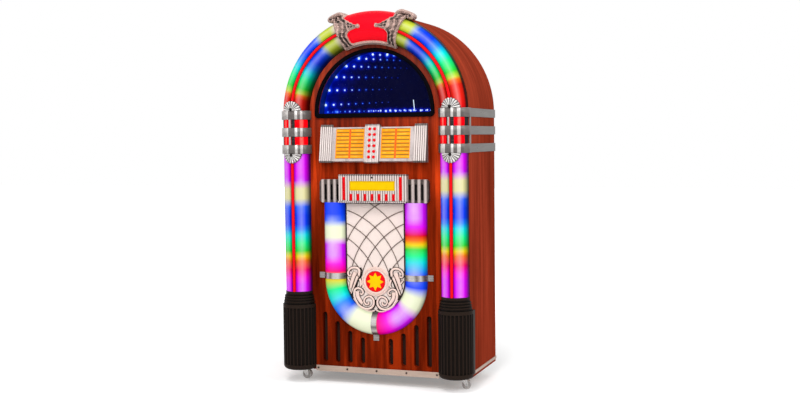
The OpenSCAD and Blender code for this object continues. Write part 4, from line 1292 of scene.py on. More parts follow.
class JUKEBOX_OT_clamps(PieceOperator):
    """Makes the shoulder clamps: reeded bands, centre bars, red lenses and pleated fans"""

    bl_idname = "jukebox.clamps"
    bl_label = "Shoulder clamps"

    def execute(self, context):
        size = sizes()
        pitch = size.band_height + size.lens_height
        bevel = 0.001
        root = 0.044
        frames = Shape()
        lenses = Shape()
        shadow_liners = Shape()
        bars = Shape()
        for side in (1, -1):
            centre = side * size.tube_path
            for i in range(3):
                band(frames, side, CLAMP_LOW + i * pitch)
            edge = side * (SIDE + 0.0032)
            back = [(SIDE * side, -CLAMP_WRAP), (edge, -CLAMP_WRAP), (edge, -0.001), (SIDE * side, -0.001)]
            frames.rows([[on_front(x, z, v) for x, v in back] for z in (CLAMP_LOW, CLAMP_HIGH)],
                        crest=[[0.56] * 4] * 2, ring=True, caps=True)
            # Two posts per centre bar: the dark one is painted shade and the bright one a painted reflection
            for near, far, out, shine in ((0.0002, 0.0126, -0.0006, 0.0), (-0.0084, -0.0022, 0.0012, 0.9)):
                out += size.clamp_radius - 0.002 * (shine > 0.5)
                post = [(far, root), (far, out - bevel), (far - bevel, out), (near + bevel, out),
                        (near, out - bevel), (near, root)]
                for i in range(2):
                    ends = (CLAMP_LOW + size.band_height + i * pitch, CLAMP_LOW + (i + 1) * pitch)
                    bars.rows([[on_front(centre + x, z, v) for x, v in post] for z in ends],
                              crest=[[shine] * 6] * 2, ring=True, caps=True)
            for i in range(2):
                low = CLAMP_LOW + size.band_height + i * pitch
                # Black strips behind the lenses, showing between and beside them, are painted shadow
                self.shell(shadow_liners, side, low, 4, 176, 0.0474, 0.0480)
                for first, last in LENS_RUNS[side]:
                    self.shell(lenses, side, low, first, last, 0.0481, 0.0494)
        fit(frames.make("clamp_bands", plated(), 50), "clamp_frames")
        fit(bars.make("clamp_bars", plated(), 40))
        fit(lenses.make("clamp_red_lenses", lens_red(), 40), "clamp_lenses")
        fit(shadow_liners.make("clamp_shadow_liners", rubber_and_shadow_black(), 40))
        self.fans()
        return {"FINISHED"}

    def shell(self, shape, side, low, first, last, inner, outer):
        """A curved strip between two bands, from one angle to another in degrees."""
        tall = sizes().lens_height
        turns = [math.radians(a) for a in steps(first, last, 40)]
        rows = []
        levels = [(0.0, 0.0005), (0.004, 0.0001), (tall / 2, 0.0), (tall - 0.004, 0.0001), (tall, 0.0005)]
        for z, draw in levels:
            line = [(outer - draw, t) for t in turns] + [(inner, t) for t in reversed(turns)]
            rows.append(round_column(side, line, low + z))
        shape.rows(rows, ring=True, caps=True)

    def fans(self):
        """Pleated half discs laid over the tubes above and below each clamp."""
        size = sizes()
        seat = 0.0495
        thick = 0.0052
        hubs = []
        fans = Shape()
        for side in (1, -1):
            for edge, up in ((CLAMP_HIGH, 1), (CLAMP_LOW, -1)):
                rows = []
                marks = []
                for turn in steps(0.0, math.pi, size.fan_pleats * 8 + 1):
                    ridge = abs(math.sin(turn * size.fan_pleats))
                    pleat = int(turn / math.pi * size.fan_pleats - 0.001)
                    # Painted light on the pleats: each pleat a little lighter or darker, ridges bright and
                    # folds dark
                    shine = 0.8 + 0.2 * math.sin(pleat * 2.3 + side + up)
                    reach = size.fan_radius * (0.93 + 0.07 * ridge)
                    row = []
                    mark = []
                    for part in (0.1, 0.3, 0.55, 0.8, 0.94, 1.0):
                        x = part * reach * math.cos(turn)
                        rise = 0.0012 + (0.0048 * ridge * part if part < 1 else 0.0)
                        out = math.sqrt(seat ** 2 - x ** 2) + rise + 0.004 * (1 - part)
                        z = edge + up * part * reach * math.sin(turn)
                        row.append(on_front(side * size.tube_path + x, z, out))
                        mark.append(0.06 + 0.94 * shine * ridge ** 0.4 if part < 1 else 0.3)
                    for point in reversed(row[:]):
                        row.append(Vector((point.x, point.y + thick, point.z)))
                        mark.append(0.2)
                    rows.append(row)
                    marks.append(mark)
                fans.rows(rows, crest=marks, ring=True, caps=True)
                hubs.append(on_front(side * size.tube_path, edge + up * 0.0045, size.clamp_radius + 0.0015))
        fit(fans.make("clamp_pleated_fans", fan_plated(), 60), "clamp_fans")
        bead_piece("clamp_fan_hubs", rubber_and_shadow_black(), 0.0055, 14, hubs, 60)


def on_crown(angle, turn, lift, mirror=1):
    """A point over the crown: degrees along the arch, and round the lens from its outer side."""
    reach = sizes().crown_radius + lift
    a = math.radians(angle)
    if turn < 0:
        u = reach
        v = turn * 0.001
    else:
        u = reach * math.cos(math.radians(turn))
        v = reach * math.sin(math.radians(turn))
    r = sizes().tube_path + u
    return on_front(mirror * r * math.cos(a), SPRING + r * math.sin(a), v)


class JUKEBOX_OT_crown(PieceOperator):
    """Makes the red crown lens and its cast frame"""

    bl_idname = "jukebox.crown"
    bl_label = "Crown"

    def execute(self, context):
        self.lens()
        self.collars()
        self.leaves()
        return {"FINISHED"}

    def lens(self):
        """Red lens with a sunk line round its lower half."""
        rows = []
        marks = []
        for angle in steps(71.2, 108.8, 110):
            row = []
            mark = []
            for turn in steps(0.0, 180.0, 110):
                across = max(abs(angle - 90) * 4.5 - 54.0, 0.0)
                over = max(abs(turn - 123.0) * 0.94 - 8.0, 0.0)
                sink = max(0.0, 1.0 - abs(math.hypot(across, over) - 11.0) / 1.5)
                crown = 0.0028 * max(math.cos(math.radians(turn)), 0.0)
                row.append(on_crown(angle, turn, crown - 0.0012 - 0.001 * sink))
                # The mark darkens the sunk line with painted shade
                mark.append(1.0 - sink)
            rows.append(row)
            marks.append(mark)
        shape = Shape().rows(rows, crest=marks, ring=True, caps=True)
        fit(shape.make("crown_red_lens", crown_red(), 60), "crown_lens")

    def collars(self):
        """Two leafy collars, rounded into the corners of the lens opening, and the band below the lens."""
        bay = [(-20, 74.3), (48, 74.3), (56, 76.4), (96, 77.4), (98.5, 76.2), (102, 75.2), (106, 74.6),
               (111, 74.3), (136, 74.3), (141, 74.6), (145, 75.2), (148.5, 76.2), (151, 77.4),
               (180, 77.4)]
        turns = steps(-14.0, 161.0, 170)
        roll = 0.07
        shape = Shape()
        for mirror in (1, -1):
            rows = []
            for across in [0.0] + steps(0.0, 1.0, 40) + [1.0]:
                row = []
                end = 0.0
                if 0 < len(rows) < 41:
                    end = min((across + 0.02) / roll, (1.02 - across) / roll, 1.0)
                edge = math.exp(-((across - 0.09) / roll) ** 2) + math.exp(-((across - 0.91) / roll) ** 2)
                for turn in turns:
                    low = 67.6 - 1.4 * max(0.0, (turn - 96) / 60) ** 2
                    angle = low + (between(bay, turn) - low) * across
                    along = math.radians(turn)
                    leaf = 0.95 * math.sin(across * 15 + 1.7 * math.sin(along * 5 + mirror))
                    leaf += 0.55 * math.sin(along * 23 - 8.0 * across + 1.2 * math.sin(along * 7))
                    hollow = max(0.0, math.sin(across * math.pi)) ** 0.6
                    least = 0.0006 + 0.0028 * max(math.cos(along), 0.0)
                    lift = 0.0024 + least + 0.0034 * edge + 0.0036 * leaf * hollow * (1 - edge * 0.6)
                    lift = max(lift, least) * min(1.0, (162.0 - turn) / 4.0)
                    row.append(on_crown(angle, turn, lift * end - 0.001 * (end == 0), mirror))
                rows.append(row)
            rows.append(rows[0])
            shape.rows(rows)
        band = [(147, -0.001), (148.5, 0.0034), (150.5, 0.0058), (153, 0.0060), (155.5, 0.0034),
                (158, 0.0054), (161, 0.0062), (164, 0.0048), (166, -0.001)]
        # The seat under the band is a black strip of painted shadow below the crown
        seat = [(163, -0.001), (164, 0.0008), (171, 0.0010), (178, 0.0008), (179, -0.001)]
        under = Shape()
        for target, profile in ((shape, band), (under, seat)):
            rows = []
            for angle in steps(66.4, 113.6, 90):
                end = min(1.0, (angle - 66.2) / 1.0, (113.8 - angle) / 1.0)
                rows.append([on_crown(angle, turn, lift * end) for turn, lift in profile])
            target.rows(rows, ring=True, caps=True)
        fit(shape.make("crown_collars", cast_pewter(), 50), "crown_frame")
        fit(under.make("crown_shadow_seat", rubber_and_shadow_black(), 50))

    def leaves(self):
        """Leaf finials that reach over the lens, and the curls on top of the collars."""
        over = [(0.0, 55), (0.15, 57), (0.28, 66), (0.4, 69), (0.5, 76), (0.74, 80), (0.84, 78),
                (0.95, 80), (1.0, 85)]
        hook = [(74.0, -0.004), (73.2, 0.009), (71.2, 0.0165), (68.8, 0.0175), (66.6, 0.0172),
                (65.0, 0.0150), (64.6, 0.0105), (65.3, 0.0062), (66.4, 0.0066), (66.8, 0.0100),
                (66.0, 0.0115)]
        under = [(0.0, 98), (0.2, 96), (0.5, 93.5), (0.74, 91.5), (0.84, 93.5), (0.95, 92), (1.0, 87)]
        shape = Shape()
        curls = []
        thick = []
        points = []
        eyes = []
        for mirror in (1, -1):
            rows = []
            for s in steps(0.0, 1.0, 46):
                row = []
                angle = 75.6 + 9.3 * s
                top = between(over, s)
                low = between(under, s)
                for t in steps(-1.0, 1.0, 29):
                    fold = math.cos(t * 3.5 * math.pi) * (1 - s)
                    fold += math.sin(s * 9 * math.pi) * (1 - s) * (1 - t * t)
                    dome = 0.0062 * (1 - t ** 4) ** 0.5 * min((1 - s) / 0.06, 1.0)
                    lift = 0.0002 + dome + 0.0020 * fold * (1 - t ** 4)
                    row.append(on_crown(angle, top + (low - top) * (t + 1) / 2, lift, mirror))
                row += [on_crown(angle, turn, -0.0014, mirror) for turn in (low, top)]
                rows.append(row)
            shape.rows(rows, ring=True, caps=True)
            knots = []
            for angle, lift in hook:
                reach = SIDE + lift
                a = math.radians(angle)
                knots.append((reach * math.cos(a), SPRING + reach * math.sin(a)))
            curl = curve_through(knots, 8)
            for out in (-0.009, -0.001, 0.007, 0.015, 0.023):
                curls.append([on_front(p.x * mirror, p.y, out) for p in curl])
                thick += steps(1.2, 0.75, len(curl))
            for p in curl[6:56:3]:
                points.append(on_front(p.x * mirror, p.y, 0.0288))
            reach = SIDE + 0.0098
            a = math.radians(65.8)
            eyes.append(on_front(reach * math.cos(a) * mirror, SPRING + reach * math.sin(a), 0.0262))
            for angle, last, count in ((67.9, 96.0, 22), (73.6, 46.0, 10)):
                points += [on_crown(angle, turn, 0.0060, mirror) for turn in steps(4.0, last, count)]
        fit(shape.make("crown_finials", cast_pewter(), 60))
        bead_piece("crown_beads", cast_pewter(), 0.0024, 10, points)
        bead_piece("crown_curl_eyes", rubber_and_shadow_black(), 0.0042, 12, eyes)
        stems = rod_mesh(cast_pewter(), 0.0060, 12, curls, size=thick)
        fit(show("crown_scrolls", stems, cast_pewter(), 70))


def window_outline(radius, drop, corner):
    """Closed outline of the arched window, counterclockwise from its lower left corner."""
    half = math.sqrt(radius ** 2 - (drop - corner) ** 2)
    points = []
    for sx, first, last in ((-1, math.pi, 1.5 * math.pi), (1, 1.5 * math.pi, 2 * math.pi)):
        for a in steps(first, last, 8):
            z = SPRING - drop + corner + corner * math.sin(a)
            points.append((sx * (half - corner) + corner * math.cos(a), z))
    low = math.asin((corner - drop) / radius)
    arc = [(radius * math.cos(a), SPRING + radius * math.sin(a)) for a in steps(low, math.pi - low, 90)]
    return points + arc[1:-1]


class JUKEBOX_OT_window(PieceOperator):
    """Makes the black bezel and the lights that repeat behind the glass"""

    bl_idname = "jukebox.window"
    bl_label = "Window"

    def execute(self, context):
        self.bezel()
        dress(tinted_glass(), "window_glass")
        dress(box_blue(), "window_light_box")
        dress(speckled("Mirror back", (0.05, 0.07, 0.16), (0.02, 0.03, 0.09), 60, 0.4), "rear_mirror")
        self.glow()
        self.lights()
        return {"FINISHED"}

    def bezel(self):
        """Black edging round the window."""
        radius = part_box("window_bezel")[1][0]
        outer = window_outline(radius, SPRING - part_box("window_bezel")[0][2], 0.014)
        inner = window_outline(radius - sizes().bezel_width, 0.001, 0.005)
        rows = []
        for draw, v in ((0.0, 0.0), (0.0, 0.0045), (0.0012, 0.0066), (0.0032, 0.0070)):
            rows.append([on_front(x, z, v) for x, z in inset(outer, draw)])
        for draw, v in ((-0.0032, 0.0070), (-0.0012, 0.0064), (0.0, 0.0040), (0.0, 0.0)):
            rows.append([on_front(x, z, v) for x, z in inset(inner, draw)])
        rows.append(rows[0])
        shape = Shape().rows(rows, ring=True)
        fit(shape.make("window_black_bezel", bezel_black(), 60), "window_bezel")

    def dots(self):
        """Places, sizes and brightness of the lights and of their repeats in the mirror."""
        reach = 0.195
        turns = [math.radians(a) for a in steps(80, 172, 7)]
        ring = [(reach * math.cos(a), SPRING + reach * math.sin(a)) for a in turns]
        foot = [(x, SPRING + 0.0035) for x in steps(-0.186, 0.186, 22)]
        # Depth of one repeat, distance of the eye, height where repeats meet, and radius they stay in
        echo = 0.068
        away = 3.494
        vanish = 0.987
        clear = 0.203
        places = []
        for k in range(10):
            far = echo * (k + 0.65)
            shift = far / (away + far)
            for i, (x, z) in enumerate(ring + foot):
                on_ring = i < len(ring)
                rise = (vanish - z) * shift * (1.0 if on_ring else 0.7)
                seen = Vector((x + (CAMERA.x - x) * shift, FRONT, z + rise))
                if math.hypot(seen.x, max(seen.z - SPRING, 0)) > clear or seen.z < SPRING - 0.001:
                    continue
                if not on_ring and (k > 2 or math.sin(i * 12.9 + k * 4.1) < -0.15):
                    continue
                fade = 0.87 ** k if on_ring else 0.85 + 0.15 * math.sin(i * 5.1 + k)
                side = 0.95 - 0.9 * seen.x if on_ring else min(0.62 + 2.4 * max(seen.x + 0.1, 0.0), 1.0)
                size = 1.4 * 0.87 ** k if on_ring else 0.85 + 0.35 * math.sin(i * 3.7 + k)
                back = (LIGHT_PLANE - CAMERA.y) / (seen.y - CAMERA.y)
                light = max(0.2, min(1.0, side * fade + 0.1))
                places.append((CAMERA + (seen - CAMERA) * back, size, light))
        return places

    def glow(self):
        """Blue light on the mirror: strong at the left and round each light."""
        radius = WINDOW_RADIUS
        halos = [(at.x, at.z, size, shine) for at, size, shine in self.dots() if shine > 0.4]
        rows = []
        marks = []
        for z in steps(SPRING - 0.0045, SPRING + radius - 0.0008, 90):
            half = math.sqrt(max(radius ** 2 - max(z - SPRING, 0.0) ** 2, 1e-8))
            row = []
            mark = []
            for x in steps(-half, half, 120):
                row.append(Vector((x, MIRROR - 0.0006, z)))
                rim = (radius - math.hypot(x, max(z - SPRING, 0.0))) / radius
                light = 0.07 + 0.32 * math.exp(-(x + half) / 0.07)
                light += 0.22 * math.exp(-(z - SPRING + 0.004) / 0.008)
                light += 0.12 * math.exp(-rim / 0.02)
                for a, b, size, shine in halos:
                    far = ((x - a) ** 2 + (z - b) ** 2) / (0.0075 * size) ** 2
                    if far < 9:
                        light += 0.5 * shine * math.exp(-far)
                mark.append(min(light, 0.9))
            rows.append(row)
            marks.append(mark)
        sheet = Shape().rows(rows, crest=marks).make("window_blue_glow", window_glow(), 60, "glow")
        face_front(sheet)
        fit(sheet)

    def lights(self):
        """Small lights, their repeats and one bright upright streak."""
        places = self.dots()
        for up in steps(0.006, 0.040, 18):
            places.append((Vector((0.124 - 0.1 * up, LIGHT_PLANE, SPRING + up)), 0.55, 1.0))
        points, scale, shine = zip(*places)
        bead_piece("window_lights", window_dot(), 0.0028, 8, points, 80, size=scale, glow=shine)


def reeded(shape, low_x, high_x, length):
    """A block of six upright reeds on the selector's face, closed back to the panel."""
    rows = []
    marks = []
    count = 6
    top = 0.0004
    depth = 0.0030
    wide = (high_x - low_x) / count
    # Each level: how far up the face, how far the reeds dip back, and their shine; the low shine at both
    # ends and the mark's fall into the grooves are painted shade
    levels = [(0.0, 0.0040, 0.1), (0.0010, 0.0018, 0.12), (0.0052, 0.0010, 0.12), (0.0058, 0.0, 0.9),
              (length * 0.5, 0.0, 1.0), (length - 0.0084, 0.0, 0.9), (length - 0.0078, 0.0010, 0.12),
              (length - 0.0010, 0.0018, 0.12), (length, 0.0045, 0.1)]
    for up, dip, shine in levels:
        row = []
        mark = []
        for i in range(count):
            for t in steps(0.02, 0.98, 9):
                lift = math.sqrt(max(1 - (2 * t - 1) ** 2, 0.0))
                row.append(on_slope(low_x + (i + t) * wide, up, top + depth * (lift - 1) - dip))
                mark.append(lift ** 2 * shine)
        for end in (row[-1], row[0]):
            row.append(Vector((end.x, FRONT, end.z)))
            mark.append(0.3)
        rows.append(row)
        marks.append(mark)
    shape.rows(rows, crest=marks, ring=True, caps=True)


class JUKEBOX_OT_selector(PieceOperator):
    """Makes the selector's reeded caps, lit cards and twelve push-buttons"""

    bl_idname = "jukebox.selector"
    bl_label = "Selector"

    def execute(self, context):
        length = SELECTOR_TALL / math.cos(sizes().lean)
        dress(metal("frame"), "selector_frame")
        dress(strip_reeds(), "button_strip")
        caps = Shape()
        reeded(caps, 0.1465, 0.1905, length)
        reeded(caps, -0.1905, -0.1465, length)
        fit(caps.make("selector_reeded_caps", reed_white(), 50), "selector_caps")
        cards = Shape()
        for side in (1, -1):
            low = side * 0.0815 - CARD_WIDE / 2
            line = [(t, -0.0043) for t in steps(0.0, 1.0, 12)] + [(t, -0.0055) for t in steps(1.0, 0.0, 12)]
            ups = steps(0.014, length - 0.015, 12)
            rows = [[on_slope(low + CARD_WIDE * t, up, out) for t, out in line] for up in ups]
            uv = [[(t, far) for t, _ in line] for far in steps(0.0, 1.0, 12)]
            cards.rows(rows, uv=uv, ring=True, caps=True)
        fit(cards.make("selector_cards", card_print(), 40), "title_cards")
        profile = [(0.0065, -0.005), (0.0065, -0.0003), (0.0050, -0.0003), (0.0050, 0.0052),
                   (0.0047, 0.0062), (0.0038, 0.0068), (0.0020, 0.0070)]
        for number in range(1, 13):
            row, column = divmod(number - 1, 2)
            x = (column * 2 - 1) * 0.00875
            up = length / 2 + (2.5 - row) * 0.0189
            key = Shape()
            lathe(key, lambda a, b, out: on_slope(x + a, up + b, out), profile, 28)
            name = "select_button_" + str(number)
            fit(key.make("push_button_" + str(number), button_red(), 40), name, body=name)
        return {"FINISHED"}


class JUKEBOX_OT_console(PieceOperator):
    """Finishes the console and makes its red inlays, its eye and the beads on its ledge"""

    bl_idname = "jukebox.console"
    bl_label = "Console"

    def execute(self, context):
        dress(console_reeds(), "console_block")
        dress(wing_metal(), "console_wings")
        dress(plate_yellow(), "console_plate")
        bars = Shape()
        places = [(i * INLAY_PITCH, CONSOLE_LOW + 0.0185, 0.0115) for i in range(-3, 4)]
        places += [(i * INLAY_PITCH, CONSOLE_LOW + 0.0475, 0.039) for i in (-4, 4)]
        for x, z, half in places:
            outline = [(x + a, z + b) for a, b in rounded(0.0045, half, 0.0012, 4)]
            slab(bars, outline, 0.022, 0.0288, 0.0022)
        fit(bars.make("console_red_inlays", crest_red(), 50), "console_inlays")
        eye = Shape()
        lathe(eye, lambda a, b, out: on_front(a, CONSOLE_LOW + 0.0845 + b, out),
              [(0.003, 0.018), (0.003, 0.0280), (0.0024, 0.0288), (0.0010, 0.0291)], 20)
        fit(eye.make("console_eye", rubber_and_shadow_black(), 40))
        points = [on_front(x, CONSOLE_LOW + 0.0026, 0.0298) for x in steps(-0.1182, 0.1182, 32)]
        bead_piece("console_beads", metal("frame"), sizes().bead_radius, 10, points)
        return {"FINISHED"}


class JUKEBOX_OT_bowl(PieceOperator):
    """Makes the U-shaped light tube and finishes its straps"""

    bl_idname = "jukebox.bowl"
    bl_label = "Bowl"

    def execute(self, context):
        half = BOWL_WIDE / 2
        radius = (half ** 2 + BOWL_DEPTH ** 2) / (2 * BOWL_DEPTH)
        edge = math.asin(half / radius)
        section = []
        for t in steps(-edge, edge, 34):
            out = radius * math.cos(t) - radius + BOWL_DEPTH
            section.append((-radius * math.sin(t), out, (t + edge) / (2 * edge)))
        path = bowl_path()
        far = [0.0]
        for (a, _), (b, _) in zip(path, path[1:]):
            far.append(far[-1] + math.dist(a, b))
        shape = Shape()
        sweep(shape, path, section, [d / far[-1] for d in far])
        fit(shape.make("bowl_light", bowl_light(), 30), "bowl_light_tube")
        dress(strap_chrome(), "bowl_straps")
        return {"FINISHED"}


class JUKEBOX_OT_grille(PieceOperator):
    """Makes the speaker cloth, its edging, the wire lattice, the scrollwork and the medallion"""

    bl_idname = "jukebox.grille"
    bl_label = "Grille"

    def execute(self, context):
        self.cloth()
        self.lattice()
        self.scrolls()
        self.medallion()
        return {"FINISHED"}

    def cloth(self):
        """Speaker cloth stretched over the opening, and the rubber edging round it."""
        half = GRILLE_HALF - 0.0006
        rows = []
        for z in steps(BOWL - half + 0.0004, GRILLE_TOP - 0.0004, 90):
            reach = math.sqrt(max(half ** 2 - min(z - BOWL, 0.0) ** 2, 0.0))
            rows.append([on_front(x, z, 0.0012) for x in steps(-reach, reach, 44)])
        sheet = Shape().rows(rows).make("grille_speaker_cloth", grille_weave(), 60)
        face_front(sheet)
        fit(sheet, "grille_cloth")
        # The black edging round the cloth is rubber and also painted shadow of the gap beside it; its top
        # run under the console's ledge is painted shadow
        reach = GRILLE_HALF - 0.0016
        down = steps(GRILLE_TOP, BOWL + 0.003, 30)
        line = [(-reach, z) for z in down]
        line += [(reach * math.cos(a), BOWL + reach * math.sin(a)) for a in steps(math.pi, 2 * math.pi, 60)]
        line += [(reach, z) for z in reversed(down)]
        edge = [on_front(x, z, 0.0022) for x, z in line]
        top = [on_front(x, GRILLE_TOP - 0.0022, 0.0026) for x in steps(-reach, reach, 12)]
        rubber = rod_mesh(rubber_and_shadow_black(), 0.0018, 8, (edge, top))
        fit(show("grille_edging", rubber, rubber_and_shadow_black(), 60))

    def lattice(self):
        """Five arcs of wire from each side, cut at the opening's edge."""
        bend = 0.275
        lines = []
        for side in (1, -1):
            for i in range(-1, 4):
                line = []
                drop = 0.028 if i > -1 else 0.016
                for a in steps(math.pi * 0.5, math.pi * 1.25, 160):
                    x = side * (0.181 + 0.033 * i + bend * math.cos(a))
                    z = BOWL - drop - 0.032 * i + bend * math.sin(a)
                    if abs(x) < GRILLE_HALF - 0.002 and BOWL + 0.026 < z < GRILLE_TOP - 0.002:
                        line.append(on_front(x, z, 0.0024 + (0.0004 if side > 0 else -0.0002)))
                if len(line) > 3:
                    lines.append(line)
        wires = rod_mesh(metal("wire"), sizes().wire_radius, 8, lines)
        fit(show("grille_wires", wires, metal("wire"), 60), "grille_lattice")

    def scrolls(self):
        """Cream scrolls, drawn in millimetres from the medallion, on dark strokes of painted shadow that
        show beside them.
        """
        least = 0.0014
        full = 0.0062
        cream = []
        width = []
        dark = []
        heavy = []

        def spread(flat, side, out):
            return [on_front(side * p[0] * 0.001, MEDALLION + p[1] * 0.001, out) for p in flat]

        def lay(knots, first, last, out=0.0042):
            flat = curve_through(knots)
            for side in (1, -1):
                cream.append(spread(flat, side, out))
                width.extend(steps(first, last, len(flat)))
                # A wider dark stroke under each cream scroll shows beside it as painted shadow
                dark.append(spread(flat, side, 0.0022))
                heavy.extend([w * 5.2 + 2.2 for w in steps(first, last, len(flat))])

        # Dark strokes on their own are painted shadow between the scrolls
        def stroke(knots, weights):
            flat = curve_through(knots)
            for side in (1, -1):
                dark.append(spread(flat, side, 0.0026))
                heavy.extend([between(weights, t) for t in steps(0.0, 1.0, len(flat))])

        lay([(74, -28), (77, -44), (73, -62), (60, -82), (40, -93), (20, -91), (8, -79), (8, -62),
             (20, -51), (35, -55), (42, -67), (36, -78), (26, -77), (25, -69)], 0.85, 0.5)
        lay([(66, -34), (64, -54), (51, -73), (47, -76)], 1.5, 0.9, 0.0034)
        lay([(74, -28), (62, -24), (50, -29), (45, -38), (51, -45), (56, -41)], 0.7, 0.5)
        lay([(60, 19), (58, 35), (66, 44), (80, 45), (93, 39), (99, 27), (96, 18), (89, 18), (88, 24)],
            0.8, 0.5)
        lay([(64, 16), (71, 0), (79, -20), (88, -42)], 0.9, 0.4)
        lay([(72, 30), (80, 12), (86, -6), (91, -24)], 1.6, 0.9, 0.0034)
        lay([(98, 6), (91, -3), (84, 1), (86, 8)], 0.55, 0.45)
        lay([(4, -98), (16, -101), (32, -99), (48, -91), (66, -77), (80, -60)], 0.5, 0.35)
        lay([(56, 8), (52, -10), (56, -18)], 0.7, 0.5)
        stroke([(54, 46), (50, 32), (54, 16), (63, 2), (71, -18), (82, -42), (82, -58), (72, -78)],
               [(0.0, 2.0), (0.22, 4.4), (0.4, 2.8), (0.62, 3.8), (0.74, 7.0), (0.88, 5.0), (1.0, 1.4)])
        stroke([(0, -62), (1, -72), (5, -84), (12, -95)], [(0.0, 3.2), (0.5, 3.4), (1.0, 1.2)])
        strokes = rod_mesh(scroll_shadow_brown(), 0.001, 10, dark, size=heavy)
        for vertex in strokes.vertices:
            vertex.co.y = FRONT - max(least, min(FRONT - vertex.co.y, 0.0032))
        fit(show("grille_scroll_shadows", strokes, scroll_shadow_brown(), 60))
        rods = rod_mesh(scroll_cream(), 0.0052, 12, cream, size=width)
        for vertex in rods.vertices:
            out = FRONT - vertex.co.y
            vertex.co.y = FRONT - max(least, min(out, full + (out - full) * 0.35))
        fit(show("grille_scrolls", rods, scroll_cream(), 60), "grille_scrollwork")

    def medallion(self):
        """Beaded ring, red disc and eight-pointed star."""

        def around(a, b, out):
            return on_front(a, MEDALLION + b, out)

        ring = Shape()
        profile = [(0.0500, 0.0012), (0.0500, 0.0040), (0.0486, 0.0056), (0.0470, 0.0050),
                   (0.0410, 0.0050), (0.0396, 0.0060), (0.0372, 0.0062), (0.0356, 0.0048),
                   (0.0352, 0.0012)]
        lathe(ring, around, profile, 72)
        fit(ring.make("medallion_ring", scroll_cream(), 50))
        reach = 0.0440
        turns = steps(0.0, 2 * math.pi, 57)[:-1]
        points = [around(reach * math.cos(a), reach * math.sin(a), 0.0052) for a in turns]
        bead_piece("medallion_beads", scroll_cream(), 0.0021, 10, points)
        disc = Shape()
        r = MEDALLION_R
        profile = [(r, 0.0012), (r, 0.0040), (r - 0.001, 0.0048), (r * 0.6, 0.0054), (r * 0.2, 0.0057),
                   (0.001, 0.0057)]
        lathe(disc, around, profile, 64)
        fit(disc.make("medallion_red_disc", crest_red(), 50), "medallion_disc")
        star = Shape()
        rim = []
        for i in range(16):
            reach = 0.0302 if i % 2 == 0 else 0.0182
            a = math.pi / 2 + i * math.pi / 8
            rim.append((reach * math.cos(a), reach * math.sin(a)))
        levels = ((1.0, 0.0044), (1.0, 0.0061), (0.05, 0.0080))
        star.rows([[around(a * part, b * part, out) for a, b in rim] for part, out in levels],
                  ring=True, caps=True)
        fit(star.make("medallion_star", star_yellow(), 20))


class JUKEBOX_OT_vents(PieceOperator):
    """Stretches dark cloth behind the sound slots"""

    bl_idname = "jukebox.vents"
    bl_label = "Slot cloth"

    def execute(self, context):
        low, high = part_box("vent_cloth")
        inner = SLOT_MIDDLE - SLOT_HALF - CLOTH_MARGIN
        for side, name in ((1, "slot_cloth_right"), (-1, "slot_cloth_left")):
            rows = []
            for z in steps(low[2], high[2], 40):
                row = []
                for x in steps(inner, high[0], 40):
                    puff = math.sin(math.pi * (x - inner) / (high[0] - inner))
                    puff *= math.sin(math.pi * (z - low[2]) / (high[2] - low[2]))
                    row.append(Vector((side * x, low[1] + 0.0004 - 0.0003 * puff, z)))
                rows.append(row)
            sheet = Shape().rows(rows).make(name, vent_weave(), 60)
            face_front(sheet)
            fit(sheet)
        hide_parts("vent_cloth")
        return {"FINISHED"}


